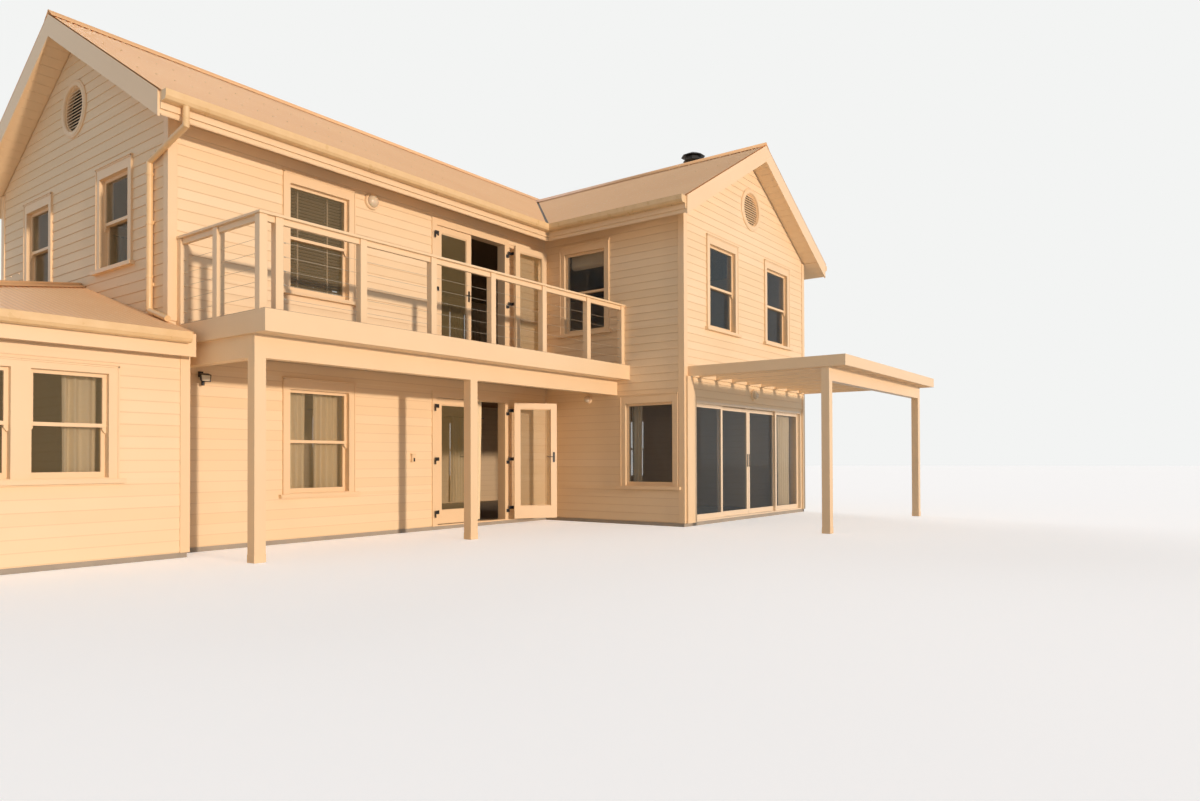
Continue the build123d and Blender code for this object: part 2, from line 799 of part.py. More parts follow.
def strap(start, end, z0, z1):
    """A hinge plate on edge between two points of the plan."""
    length = hypot(end[0] - start[0], end[1] - start[1])
    turn = degrees(atan2(end[1] - start[1], end[0] - start[0]))
    plate = Box(length, hinge_plate, z1 - z0, align=(Align.MIN, Align.CENTER, Align.MIN))
    return Pos(start[0], start[1], z0) * Rot(0, 0, turn) * plate


def hinge_heights(bottom, top):
    low = bottom + door_sill + leaf_floor_gap
    return [low + hinge_from_end, (low + top) / 2 - hinge_height / 2, top - hinge_from_end - hinge_height]


def knuckle(side, z0, z1):
    axis_x, axis_y = hinge_axis(side)
    return Pos(axis_x, axis_y, z0) * extrude(RegularPolygon(hinge_radius, 12), amount=z1 - z0)


def fixed_hinge_halves(side, bottom, top):
    """The lower knuckles, each with a plate to the casing."""
    halves = []
    axis = hinge_axis(side)
    frame = door_frame(bottom, top)
    seat = (french_door_middle + side * (french_door_opening / 2 + door_jamb / 2), -casing_proud)
    for low in hinge_heights(bottom, top):
        high = low + (hinge_height - hinge_split) / 2
        halves.append(strap(seat, axis, low, high) + knuckle(side, low, high) - frame)
    return halves


def leaf_hinge_halves(side, bottom, top):
    """The upper knuckles, each with a plate to the face of the shut leaf."""
    halves = []
    axis = hinge_axis(side)
    edge = french_door_middle + side * (french_door_opening / 2 - leaf_gap)
    for bottom_of_hinge in hinge_heights(bottom, top):
        low = bottom_of_hinge + (hinge_height + hinge_split) / 2
        high = bottom_of_hinge + hinge_height
        inboard = edge - side * hinge_height / 2
        face_plate = block(min(edge, inboard), max(edge, inboard), -hinge_plate, 0, low, high)
        corner = (edge - side * hinge_plate / 2, axis[1])
        arm = strap((corner[0], 0), corner, low, high) + strap(corner, axis, low, high)
        halves.append(face_plate + arm + knuckle(side, low, high))
    return halves


def door_handle(side, height):
    """A lever on a long plate, outside and inside, on the free stile."""
    middle = french_door_middle + side * (leaf_meeting_gap / 2 + leaf_stile / 2)
    plate_x = (middle - handle_plate_width / 2, middle + handle_plate_width / 2)
    plate_z = (height - handle_plate_height / 2, height + handle_plate_height / 2)
    spindle_x = (middle - handle_thickness / 2, middle + handle_thickness / 2)
    lever_z = (height, height + handle_thickness)
    pieces = []
    for face, out in ((0, -1), (leaf_thickness, 1)):
        tip = face + out * handle_reach
        plate = block(*plate_x, *span(face, face + out * handle_plate_thickness), *plate_z)
        spindle = block(*spindle_x, *span(face, tip), *lever_z)
        lever_y = span(tip - out * handle_thickness, tip)
        lever = block(*span(middle, middle + side * handle_length), *lever_y, *lever_z)
        pieces.append(plate + spindle + lever)
    return pieces


def turned(piece, side, angle):
    """A piece of a leaf swung outwards about its hinges."""
    axis_x, axis_y = hinge_axis(side)
    return Pos(axis_x, axis_y, 0) * Rot(0, 0, side * angle) * Pos(-axis_x, -axis_y, 0) * piece


lower_handle = slab_top + handle_height
upper_handle = upper_floor_top + handle_height

# French doors of the ground floor: the left leaf is shut, the right one stands open
keep("french_door_frame", door_frame(slab_top, lower_door_top))
keep(
    "french_door_hinges",
    *fixed_hinge_halves(-1, slab_top, lower_door_top),
    *fixed_hinge_halves(1, slab_top, lower_door_top),
)
for name, side, angle in (("french_door_left", -1, 0), ("french_door_right", 1, lower_leaf_angle)):
    leaf, pane = door_leaf(side, slab_top, lower_door_top)
    ironwork = leaf_hinge_halves(side, slab_top, lower_door_top) + door_handle(side, lower_handle)
    keep(name, turned(leaf, side, angle))
    keep(f"{name}_glass", turned(pane, side, angle))
    keep(f"{name}_ironwork", *[turned(piece, side, angle) for piece in ironwork])

# French doors of the upper floor, left leaf shut and right leaf folded back
upper_leaves = []
upper_panes = []
upper_ironwork = []
for side, angle in ((-1, 0), (1, upper_leaf_angle)):
    leaf, pane = door_leaf(side, upper_floor_top, upper_door_top)
    upper_leaves.append(turned(leaf, side, angle))
    upper_panes.append(turned(pane, side, angle))
    hinges = leaf_hinge_halves(side, upper_floor_top, upper_door_top)
    for piece in hinges + door_handle(side, upper_handle):
        upper_ironwork.append(turned(piece, side, angle))
    upper_ironwork.extend(fixed_hinge_halves(side, upper_floor_top, upper_door_top))
keep("upper_french_doors", door_frame(upper_floor_top, upper_door_top), *upper_leaves)
keep("upper_door_ironwork", *upper_ironwork)
keep("main_glass", *gable_panes, *front_panes, *rear_panes, *right_panes, *low_panes, *upper_panes)

# Sliding doors: two fixed outer panels and two inner ones that run behind them
frame_front = -cross_projection + sliding_frame_setback
frame_back = frame_front + sliding_frame_depth
frame_left = sliding_left + sliding_frame
frame_right = sliding_right - sliding_frame
frame_sill = slab_top + sliding_frame / 2
frame_head = sliding_top - sliding_frame
sliding_ring = block(sliding_left, sliding_right, frame_front, frame_back, slab_top, sliding_top)
sliding_ring -= block(frame_left, frame_right, frame_front, frame_back, frame_sill, frame_head)
keep("sliding_door_frame", sliding_ring)
panel_width = (frame_right - frame_left) / 4
sliding_middle = (frame_left + frame_right) / 2
outer_track = -cross_projection + panel_first_setback
inner_track = outer_track + panel_thickness + panel_track_gap


def glazed_panel(x0, x1, track, foot_gap, head_gap):
    """A framed panel and its pane, standing in one track of the frame."""
    z0 = frame_sill + foot_gap
    z1 = frame_head - head_gap
    ring = block(x0, x1, track, track + panel_thickness, z0, z1)
    glass_x = (x0 + panel_stile, x1 - panel_stile)
    glass_z = (z0 + panel_bottom_rail, z1 - panel_stile)
    ring -= block(*glass_x, track, track + panel_thickness, *glass_z)
    glass_y = track + (panel_thickness - glass_thickness) / 2
    return ring, block(*glass_x, glass_y, glass_y + glass_thickness, *glass_z)


fixed_left, fixed_left_pane = glazed_panel(frame_left, frame_left + panel_width, outer_track, 0, 0)
fixed_right, fixed_right_pane = glazed_panel(frame_right - panel_width, frame_right, outer_track, 0, 0)
keep("sliding_door_fixed", fixed_left, fixed_right)
keep("cross_glass", *side_panes, *cross_panes, fixed_left_pane, fixed_right_pane)
for name, x0, x1 in (
    ("sliding_door_left", frame_left + panel_width - panel_lap, sliding_middle - panel_gap / 2),
    ("sliding_door_right", sliding_middle + panel_gap / 2, frame_right - panel_width + panel_lap),
):
    panel, pane = glazed_panel(x0, x1, inner_track, runner_gap, panel_gap)
    keep(name, panel)
    keep(f"{name}_glass", pane)

# Balcony: a boarded deck on a beam and two posts, between the front wall and the cross wing
keep("balcony_deck", block(deck_left, cross_left, -deck_front, 0, deck_bottom, deck_top))
beam_bottom = deck_bottom - beam_height
beam_back = -beam_front + beam_width
keep(
    "balcony_beams",
    block(beam_left, cross_left, -beam_front, beam_back, beam_bottom, deck_bottom),
    block(beam_left, beam_left + beam_width, beam_back, 0, beam_bottom, deck_bottom),
)
keep(
    "balcony_posts",
    *[
        block(x, x + beam_width, -beam_front, beam_back, 0, beam_bottom)
        for x in (beam_left, middle_post_part * cross_left)
    ],
)

# Balcony railing: posts, a board on edge and a flat cap, with room for the wires between
rail_front = -deck_front + rail_setback
rail_back = rail_front + rail_post_depth
rail_middle = (rail_front + rail_back) / 2
cap_bottom = rail_top - rail_cap
board_bottom = cap_bottom - rail_board_depth
rail_left = beam_left - rail_post_depth / 2
rail_side_middle_x = rail_left + rail_post_depth / 2
front_rail = block(
    rail_left,
    cross_left,
    rail_middle - rail_cap_width / 2,
    rail_middle + rail_cap_width / 2,
    cap_bottom,
    rail_top,
)
front_rail += block(
    rail_left, cross_left, rail_front, rail_front + rail_board_thickness, board_bottom, cap_bottom
)
post_places = [rail_left + rail_post_width / 2]
place = rail_post_first
while place < cross_left - rail_post_width / 2:
    post_places.append(place)
    place += rail_post_pitch
for place in post_places:
    front_rail += block(
        place - rail_post_width / 2, place + rail_post_width / 2, rail_front, rail_back, deck_top, cap_bottom
    )
side_rail_start = rail_middle + rail_cap_width / 2
side_rail = block(
    rail_side_middle_x - rail_cap_width / 2,
    rail_side_middle_x + rail_cap_width / 2,
    side_rail_start,
    0,
    cap_bottom,
    rail_top,
)
side_rail += block(rail_left, rail_left + rail_board_thickness, side_rail_start, 0, board_bottom, cap_bottom)
for place in (-rail_side_middle, -rail_post_width / 2):
    side_rail += block(
        rail_left,
        rail_left + rail_post_depth,
        place - rail_post_width / 2,
        place + rail_post_width / 2,
        deck_top,
        cap_bottom,
    )
keep("balcony_railing", front_rail, side_rail)

# Pergola: two posts and a beam carry rafters inside a rim of boards
pergola_rim_bottom = pergola_top - pergola_rim_depth
pergola_beam_top = pergola_rim_bottom + pergola_beam_notch
pergola_beam_bottom = pergola_beam_top - pergola_beam_depth
pergola_beam_back = -pergola_beam_front + pergola_beam_width
post_front = -pergola_beam_front
post_back = post_front + pergola_post_width
keep(
    "pergola_posts",
    *[
        block(x, x + pergola_post_width, post_front, post_back, 0, pergola_beam_bottom)
        for x in (pergola_left + pergola_post_inset, pergola_right - pergola_post_inset - pergola_post_width)
    ],
)
pergola_beam = block(
    pergola_left + board_thickness,
    pergola_right - board_thickness,
    -pergola_beam_front,
    pergola_beam_back,
    pergola_beam_bottom,
    pergola_beam_top,
)
rim_inner = -pergola_front + board_thickness
ledger_front = -cross_projection - 2 * board_thickness
rim_z = (pergola_rim_bottom, pergola_top)
keep(
    "pergola_frame",
    pergola_beam,
    block(pergola_left, pergola_right, -pergola_front, rim_inner, *rim_z),
    block(pergola_left, pergola_left + board_thickness, rim_inner, -cross_projection, *rim_z),
    block(pergola_right - board_thickness, pergola_right, rim_inner, -cross_projection, *rim_z),
    block(
        pergola_left + board_thickness,
        pergola_right - board_thickness,
        ledger_front,
        -cross_projection,
        pergola_rim_bottom,
        pergola_top,
    ),
)
rafters = []
place = pergola_left + pergola_rafter_first
while place < pergola_right - pergola_rafter_pitch / 4:
    rafters.append(
        block(
            place - pergola_rafter_width / 2,
            place + pergola_rafter_width / 2,
            rim_inner,
            ledger_front,
            pergola_beam_top,
            pergola_beam_top + pergola_rafter_depth,
        )
    )
    place += pergola_rafter_pitch
keep("pergola_rafters", *rafters)

# Corner pilaster: a tapered board that curves in to a neck under the pergola
pilaster_front = -cross_projection - pilaster_thickness
outline = Polyline(
    (pilaster_left, slab_top),
    (pilaster_left, pergola_rim_bottom),
    (pilaster_neck, pergola_rim_bottom),
)
curve = ThreePointArc(
    (pilaster_neck, pergola_rim_bottom),
    (pilaster_neck + pilaster_hollow, (pergola_rim_bottom + sliding_top) / 2),
    (sliding_left, sliding_top),
)
foot = Polyline((sliding_left, sliding_top), (sliding_left, slab_top), (pilaster_left, slab_top))
pilaster_face = make_face(Curve() + [outline, curve, foot])
pilaster = extrude(Rot(90, 0, 0) * pilaster_face, amount=pilaster_thickness, dir=(0, -1, 0))
keep("corner_pilaster", Pos(0, -cross_projection, 0) * pilaster)

# Wall lamps: one beside the upper door, one over the sliding doors and one on the side wall
upper_lamp = (upper_lamp_part * cross_left, upper_door_top + upper_lamp_rise)
gable_lamp = (cross_ridge + gable_lamp_from_ridge, sliding_top + gable_lamp_rise)
side_lamp = (side_lamp_from_wall, lower_door_top + side_lamp_rise)
lamp = Rot(90, 0, 0) * Cylinder(lamp_radius, lamp_depth, align=(Align.CENTER, Align.CENTER, Align.MIN))
lamp = chamfer(lamp.edges().group_by(Axis.Y)[0], lamp_radius / 3)
keep(
    "wall_lamps",
    main_front_face * Pos(upper_lamp[0], 0, upper_lamp[1]) * lamp,
    cross_front_face * Pos(gable_lamp[0], 0, gable_lamp[1]) * lamp,
    cross_side_face * Pos(side_lamp[0], 0, side_lamp[1]) * lamp,
)
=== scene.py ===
import bpy
import bmesh
import math
from mathutils import Matrix, Vector


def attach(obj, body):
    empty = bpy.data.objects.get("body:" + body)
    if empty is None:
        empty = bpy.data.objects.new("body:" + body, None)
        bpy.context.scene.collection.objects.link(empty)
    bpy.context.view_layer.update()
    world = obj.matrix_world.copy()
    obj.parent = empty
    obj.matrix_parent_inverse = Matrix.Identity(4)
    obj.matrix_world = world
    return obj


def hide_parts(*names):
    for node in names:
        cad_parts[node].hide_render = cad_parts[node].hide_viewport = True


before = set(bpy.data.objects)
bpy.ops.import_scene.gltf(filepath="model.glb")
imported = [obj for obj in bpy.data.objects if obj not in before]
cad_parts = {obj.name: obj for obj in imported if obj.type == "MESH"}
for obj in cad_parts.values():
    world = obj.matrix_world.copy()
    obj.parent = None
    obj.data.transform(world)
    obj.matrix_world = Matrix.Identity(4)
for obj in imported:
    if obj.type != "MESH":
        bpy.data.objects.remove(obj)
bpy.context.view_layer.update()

# Floor slab and upper floor: the slab is concrete poured on the ground and trowelled smooth,
# and the upper floor is laid with oiled boards, nailed down over its joists


def linear(code):
    """An sRGB hex colour as linear red, green, blue and alpha."""
    parts = [int(code[place:place + 2], 16) / 255 for place in (1, 3, 5)]
    return [c / 12.92 if c <= 0.04045 else ((c + 0.055) / 1.055) ** 2.4 for c in parts] + [1.0]


def fill(tree, node, inputs):
    """Set a node's inputs to numbers and hex colours, or link sockets and nodes to them."""
    for name, value in inputs.items():
        if isinstance(value, bpy.types.Node):
            value = next(socket for socket in value.outputs if socket.enabled)
        if isinstance(value, bpy.types.NodeSocket):
            tree.links.new(value, node.inputs[name])
        else:
            node.inputs[name].default_value = linear(value) if isinstance(value, str) else value


def add(tree, kind, inputs=None, **settings):
    """Add one shader node with its settings and links."""
    node = tree.nodes.new("ShaderNode" + kind)
    for name, value in settings.items():
        setattr(node, name, value)
    fill(tree, node, inputs or {})
    return node


def new_material(name):
    """A material, its nodes, the place on the object and the shader that the nodes end in."""
    material = bpy.data.materials.new(name)
    material.use_nodes = True
    tree = material.node_tree
    tree.nodes.clear()
    place = add(tree, "TexCoord").outputs["Object"]
    shader = add(tree, "BsdfPrincipled")
    add(tree, "OutputMaterial", {"Surface": shader})
    return material, tree, place, shader


def dress(material, *nodes):
    """Give CAD nodes a material in place of their plain one."""
    for name in nodes:
        slots = bpy.data.objects[name].material_slots
        for slot in slots:
            slot.material = material
        if not slots:
            bpy.data.objects[name].data.materials.append(material)


# Trowelled concrete: matt, with soft cloudy patches about 0.4 m across and a fine grit
concrete, tree, place, shader = new_material("trowelled_concrete")
clouds = add(tree, "TexNoise", {"Vector": place, "Scale": 2.5, "Detail": 6.0})
grit = add(tree, "TexNoise", {"Vector": place, "Scale": 180.0})
tone = add(tree, "Mix", {0: clouds, 6: "#9C9284", 7: "#B8AE9E"}, data_type="RGBA")
relief = add(tree, "Bump", {"Height": grit, "Strength": 0.3, "Distance": 0.002})
fill(tree, shader, {"Base Color": tone, "Normal": relief, "Roughness": 0.85})
dress(concrete, "ground_slab")

# Oiled floor boards, 120 mm wide: brown, with the grain drawn out along the boards and a
# dark seam between them
floor_boards, tree, place, shader = new_material("oiled_floor_boards")
long = add(tree, "Mapping", {"Vector": place, "Scale": (1.2, 24.0, 24.0)})
grain = add(tree, "TexNoise", {"Vector": long, "Scale": 3.0, "Detail": 5.0})
boards = add(tree, "TexWave", {"Vector": place, "Scale": 1.309}, bands_direction="Y", wave_profile="SAW")
seams = add(tree, "MapRange", {"Value": boards.outputs["Fac"], "From Min": 0.94, "From Max": 0.98})
tone = add(tree, "Mix", {0: grain, 6: "#6B4A2E", 7: "#9A7248"}, data_type="RGBA")
lined = add(tree, "Mix", {0: seams, 6: tone, 7: "#2E2016"}, data_type="RGBA")
fill(tree, shader, {"Base Color": lined, "Roughness": 0.45})
dress(floor_boards, "upper_floor")

# Weatherboards: painted timber boards 132 mm to the weather, each lapped over the one below.
# They are nailed to the wall frame from the ground up and cut round casings and roofs.
plan_middle_x, plan_middle_y = 4.425, 0.120
house_length, house_depth = 11.94, 5.35
cross_left, cross_front = 6.955, -3.0
low_left, low_front = -3.35, -0.45
board_exposure = 0.132
board_foot = 0.013
board_head = 0.005
siding_bottom = 0.075


def in_row(x, y, z):
    """A place measured from the left gable and the front wall, as the frame has it."""
    return Vector((x - plan_middle_x, y - plan_middle_y, z))


def add_prism(bm, foot, head):
    """Two like polygons of points joined by side faces."""
    low = [bm.verts.new(point) for point in foot]
    high = [bm.verts.new(point) for point in head]
    bm.faces.new(list(reversed(low)))
    bm.faces.new(high)
    for step in range(len(low)):
        after = (step + 1) % len(low)
        bm.faces.new((low[step], low[after], high[after], high[step]))


def add_block(bm, x0, x1, y0, y1, z0, z1):
    """A straight block between two corners, measured from the left gable and the front wall."""
    plan = [(x0, y0), (x1, y0), (x1, y1), (x0, y1)]
    add_prism(bm, [in_row(x, y, z0) for x, y in plan], [in_row(x, y, z1) for x, y in plan])


def make_piece(name, bm, material, body="house", bevel=0.0, smooth=False):
    """Turn mesh work into a piece of the house that rides on a body."""
    bmesh.ops.recalc_face_normals(bm, faces=bm.faces)
    mesh = bpy.data.meshes.new(name)
    bm.to_mesh(mesh)
    bm.free()
    mesh.materials.append(material)
    if smooth:
        mesh.polygons.foreach_set("use_smooth", [True] * len(mesh.polygons))
    piece = bpy.data.objects.new(name, mesh)
    bpy.context.scene.collection.objects.link(piece)
    if bevel:
        edges = piece.modifiers.new("worn edges", "BEVEL")
        edges.width = bevel
        edges.segments = 1
        edges.limit_method = "ANGLE"
    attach(piece, body)
    return piece


# Where each wall stands: a place on it is along the wall, out from its face, and up
faces = {
    "front": lambda a, d, z: in_row(a, -d, z),
    "cross_front": lambda a, d, z: in_row(a, cross_front - d, z),
    "low_front": lambda a, d, z: in_row(a, low_front - d, z),
    "left": lambda a, d, z: in_row(-d, a, z),
    "low_left": lambda a, d, z: in_row(low_left - d, a, z),
    "low_return": lambda a, d, z: in_row(d, a, z),
    "cross_side": lambda a, d, z: in_row(cross_left - d, a, z),
    "rear": lambda a, d, z: in_row(a, house_depth + d, z),
    "right": lambda a, d, z: in_row(house_length + d, a, z),
}


def slice_at(outline, z):
    """Where the height z cuts a convex outline, as a pair, or None."""
    cuts = []
    for step, (a0, z0) in enumerate(outline):
        a1, z1 = outline[(step + 1) % len(outline)]
        if min(z0, z1) <= z <= max(z0, z1) and z0 != z1:
            cuts.append(a0 + (a1 - a0) * (z - z0) / (z1 - z0))
    return (min(cuts), max(cuts)) if len(cuts) > 1 else None


def rectangle(a0, a1, z0, z1):
    return [(a0, z0), (a1, z0), (a1, z1), (a0, z1)]


def gable(a0, a1, foot, ridge, peak, slope):
    """The outline of a wall under two roof slopes that meet in a ridge."""
    right, left = [(a, peak - slope * abs(ridge - a)) for a in (a1, a0)]
    return [(a0, foot), (a1, foot), right, (ridge, peak), left]


def round_hole(middle, height, radius):
    turns = [step * math.pi / 12 for step in range(24)]
    return [(middle + radius * math.cos(turn), height + radius * math.sin(turn)) for turn in turns]


def clad(bm, wall, outline, holes):
    """Lapped boards over an outline of a wall, left out where there are holes."""
    face = faces[wall]
    inside, thinnest, shortest = 0.0005, 0.002, 0.004
    fall = (board_foot - board_head) / board_exposure
    top = max(z for _, z in outline)
    bottom = min(z for _, z in outline)
    course = siding_bottom + math.floor((bottom - siding_bottom) / board_exposure) * board_exposure
    turns = [z for shape in [outline] + holes for _, z in shape]
    while course < top:
        ends = [course, course + board_exposure]
        levels = ends + [z for z in turns if ends[0] < z < ends[1]]
        levels = sorted(z for z in set(levels) if bottom <= z <= top)
        for z0, z1 in zip(levels, levels[1:]):
            if z1 - z0 < thinnest:
                continue
            low = slice_at(outline, z0 + inside)
            high = slice_at(outline, z1 - inside)
            if not low or not high:
                continue
            strips = [(low[0], low[1], high[0], high[1])]
            for hole in holes:
                hole_low = slice_at(hole, z0 + inside)
                hole_high = slice_at(hole, z1 - inside)
                if not hole_low or not hole_high:
                    continue
                kept = []
                for a0, a1, b0, b1 in strips:
                    kept.append((a0, min(a1, hole_low[0]), b0, min(b1, hole_high[0])))
                    kept.append((max(a0, hole_low[1]), a1, max(b0, hole_high[1]), b1))
                strips = [s for s in kept if s[1] - s[0] > shortest or s[3] - s[2] > shortest]
            for a0, a1, b0, b1 in strips:
                a1 = max(a0, a1)
                b1 = max(b0, b1)
                d0 = board_foot - fall * (z0 - course)
                d1 = board_foot - fall * (z1 - course)
                foot = [face(a0, 0.0, z0), face(a1, 0.0, z0), face(a1, d0, z0), face(a0, d0, z0)]
                head = [face(b0, 0.0, z1), face(b1, 0.0, z1), face(b1, d1, z1), face(b0, d1, z1)]
                add_prism(bm, foot, head)
        course += board_exposure


# The windows: each storey's sill, head, depth of head board and meeting rail, and then each
# window's wall, middle along the wall, width and storey
storeys = {
    "lower": (0.665, 2.10, 0.13, 1.38),
    "upper": (3.42, 4.90, 0.13, 4.16),
    "gable": (3.65, 4.87, 0.13, 4.265),
    "low": (0.93, 2.07, 0.075, 1.50),
}
rear_middles = (2.0795, 5.97, 9.8605)
windows = [
    ("left", 1.425, 0.84, "gable"),
    ("left", 3.925, 0.84, "gable"),
    ("front", 2.0795, 0.97, "lower"),
    ("front", 2.0795, 0.97, "upper"),
    ("cross_side", -2.31, 0.98, "lower"),
    ("cross_side", -0.93, 0.93, "upper"),
    ("cross_front", 8.2975, 0.98, "upper"),
    ("cross_front", 10.5975, 0.98, "upper"),
    ("low_front", -2.127, 0.754, "low"),
    ("low_front", -1.223, 0.754, "low"),
    ("right", 1.425, 0.84, "gable"),
    ("right", 3.925, 0.84, "gable"),
    ("right", 1.425, 0.84, "lower"),
    ("right", 3.925, 0.84, "lower"),
]
windows += [("rear", middle, 0.97, storey) for storey in ("lower", "upper") for middle in rear_middles]
casing_width = 0.095
sill_depth, sill_reach = 0.05, 0.055


def window_holes(wall):
    """The places that casings, sills and head boards cover on a wall."""
    holes = []
    for name, middle, width, storey in windows:
        if name == wall:
            sill, head, head_board, _ = storeys[storey]
            half = width / 2 + casing_width
            wide = half + sill_reach
            holes.append(rectangle(middle - half, middle + half, sill, head + head_board))
            holes.append(rectangle(middle - wide, middle + wide, sill - sill_depth, sill))
    return holes


# The roof planes that the boards run up to, by ridge and slope
ridge_y, ridge_z = 2.675, 7.22
cross_ridge_x, cross_ridge_z = 9.4475, 7.025
low_peak_y, low_peak_z, low_rise = 2.45, 3.51, 0.926
main_slope = 1.875 / 3.11
cross_slope = 1.68 / 2.9275
low_slope = low_rise / 3.075
low_hip_slope = low_rise / 3.525
roof_depth = 0.27
board_gap = 0.012
main_top = ridge_z - roof_depth - board_gap
cross_top = cross_ridge_z - roof_depth - board_gap
low_roof_top = 3.52
front_top = main_top - main_slope * ridge_y
cross_side_top = cross_top - cross_slope * 2.4925
low_siding_top = 2.444
corner_width = 0.09
inner_batten = 0.02
door_middle = 5.03
door_half = 0.895
left_vent_z, cross_vent_z, vent_hole = 6.03, 5.87, 0.36

right_end = house_length - corner_width
rear_end = house_depth - corner_width
low_roof_line = gable(-1.0, low_peak_y + 4.0, 1.0, low_peak_y, low_roof_top, low_slope)
siding = bmesh.new()
for wall, outline, holes in (
    (
        "front",
        rectangle(corner_width, cross_left - inner_batten, siding_bottom, front_top),
        window_holes("front") + [
            rectangle(0.05, cross_left, 2.44, 2.76),
            rectangle(0.127, 0.263, 2.25, 2.507),
            rectangle(door_middle - door_half, door_middle + door_half, 0.05, 2.235),
            rectangle(door_middle - door_half, door_middle + door_half, 2.70, 5.025),
        ],
    ),
    (
        "cross_side",
        rectangle(cross_front + corner_width, -inner_batten, siding_bottom, cross_side_top),
        window_holes("cross_side") + [
            rectangle(-1.92, 0.0, 2.507, 2.76),
            rectangle(-1.65, 0.0, 2.25, 2.507),
        ],
    ),
    (
        "cross_front",
        gable(cross_left + corner_width, right_end, 2.175, cross_ridge_x, cross_top, cross_slope),
        window_holes("cross_front") + [
            rectangle(7.07, 11.90, 2.51, 2.675),
            rectangle(6.98, 7.27, 2.0, 2.51),
            round_hole(cross_ridge_x, cross_vent_z, vent_hole),
        ],
    ),
    (
        "left",
        gable(corner_width, rear_end, 2.62, ridge_y, main_top, main_slope),
        window_holes("left") + [low_roof_line, round_hole(ridge_y, left_vent_z, vent_hole)],
    ),
    (
        "low_front",
        rectangle(low_left + corner_width, -corner_width, siding_bottom, low_siding_top),
        window_holes("low_front"),
    ),
    ("low_return", rectangle(low_front + corner_width, -inner_batten, siding_bottom, low_siding_top), []),
    ("low_left", rectangle(low_front + corner_width, rear_end, siding_bottom, 2.438), []),
    ("rear", rectangle(low_left + corner_width, -inner_batten, siding_bottom, 2.445), []),
    (
        "rear",
        rectangle(0.0, right_end, siding_bottom, front_top),
        window_holes("rear") + [rectangle(-0.3, 0.03, 2.30, 2.70)],
    ),
    ("right", gable(0.0, rear_end, siding_bottom, ridge_y, main_top, main_slope), window_holes("right")),
    ("right", rectangle(cross_front + corner_width, 0.0, siding_bottom, cross_side_top), []),
):
    clad(siding, wall, outline, holes)

# Weatherboard paint: semi-matt cream on sawn pine, a shade apart from board to board, with
# the wood's grain just showing through and a darker line painted under each lap, standing for
# the lap's shadow and a little dust
siding_paint, tree, place, shader = new_material("cream_weatherboard_paint")
lap_shade_band = (board_exposure - 0.014, board_exposure - 0.004)
long = add(tree, "Mapping", {"Vector": place, "Scale": (1.5, 1.5, 90.0)})
grain = add(tree, "TexNoise", {"Vector": long, "Scale": 4.0, "Detail": 4.0})
patches = add(tree, "TexNoise", {"Vector": place, "Scale": 0.9, "Detail": 3.0})
each = add(tree, "NewGeometry").outputs["Random Per Island"]
tone = add(tree, "Mix", {0: each, 6: "#F4D8AE", 7: "#F8DEB7"}, data_type="RGBA")
dusty = add(tree, "MapRange", {"Value": patches, "From Min": 0.45, "From Max": 0.75, "To Max": 0.35})
worn = add(tree, "Mix", {0: dusty, 6: tone, 7: "#EDD0A6"}, data_type="RGBA")
height = add(tree, "SeparateXYZ", {0: place}).outputs["Z"]
from_foot = add(tree, "Math", {0: height, 1: board_exposure - siding_bottom}, operation="ADD")
on_board = add(tree, "Math", {0: from_foot, 1: board_exposure}, operation="MODULO")
# Painted shade with a little dust: the head of each board, under the next board's lap, is darker
painted_lap_shade = add(tree, "MapRange", {
    "Value": on_board, "From Min": lap_shade_band[0], "From Max": lap_shade_band[1], "To Max": 0.3,
})
lapped = add(tree, "Mix", {0: painted_lap_shade, 6: worn, 7: "#C6A074"}, data_type="RGBA")
relief = add(tree, "Bump", {"Height": grain, "Strength": 0.18, "Distance": 0.002})
fill(tree, shader, {"Base Color": lapped, "Normal": relief, "Roughness": 0.55})
make_piece("weatherboards", siding, siding_paint)
dress(
    siding_paint, "front_wall_left", "front_wall_right", "front_wall_middle", "left_gable_wall",
    "rear_wall", "right_gable_wall", "cross_right_wall", "cross_side_wall", "cross_front_piers",
    "cross_gable_wall", "low_front_wall", "low_left_wall", "low_rear_wall",
)

# Corner boards: two boards 90 mm wide nailed in an L over every outer corner, and a batten
# down each inner corner, all painted with the trim.
# Trim paint: gloss cream on planed timber, with soft fading and fine brush marks
trim_paint, tree, place, shader = new_material("cream_gloss_trim_paint")
soft = add(tree, "TexNoise", {"Vector": place, "Scale": 1.4, "Detail": 4.0})
brush = add(tree, "TexNoise", {"Vector": place, "Scale": 120.0, "Detail": 2.0})
tone = add(tree, "Mix", {0: soft, 6: "#F1D1A5", 7: "#F7DAB1"}, data_type="RGBA")
relief = add(tree, "Bump", {"Height": brush, "Strength": 0.12, "Distance": 0.001})
fill(tree, shader, {"Base Color": tone, "Normal": relief, "Roughness": 0.38})

corner_proud = 0.024
corner_foot, low_corner_top, under_roof = 0.06, 2.435, 0.01
corners = bmesh.new()
for x, y, out_x, out_y, bottom, top in (
    (0.0, 0.0, -1, -1, 2.80, front_top),
    (0.0, house_depth, -1, 1, 2.66, front_top),
    (house_length, house_depth, 1, 1, corner_foot, front_top),
    (cross_left, cross_front, -1, -1, corner_foot, cross_side_top),
    (house_length, cross_front, 1, -1, corner_foot, cross_side_top),
    (low_left, low_front, -1, -1, corner_foot, low_corner_top),
    (low_left, house_depth, -1, 1, corner_foot, low_corner_top),
    (0.0, low_front, 1, -1, corner_foot, low_corner_top),
):
    x_in = sorted((x - out_x * corner_width, x + out_x * corner_proud))
    y_in = sorted((y - out_y * corner_width, y))
    add_block(corners, *x_in, *sorted((y, y + out_y * corner_proud)), bottom, top - under_roof)
    add_block(corners, *sorted((x, x + out_x * corner_proud)), *y_in, bottom, top - under_roof)
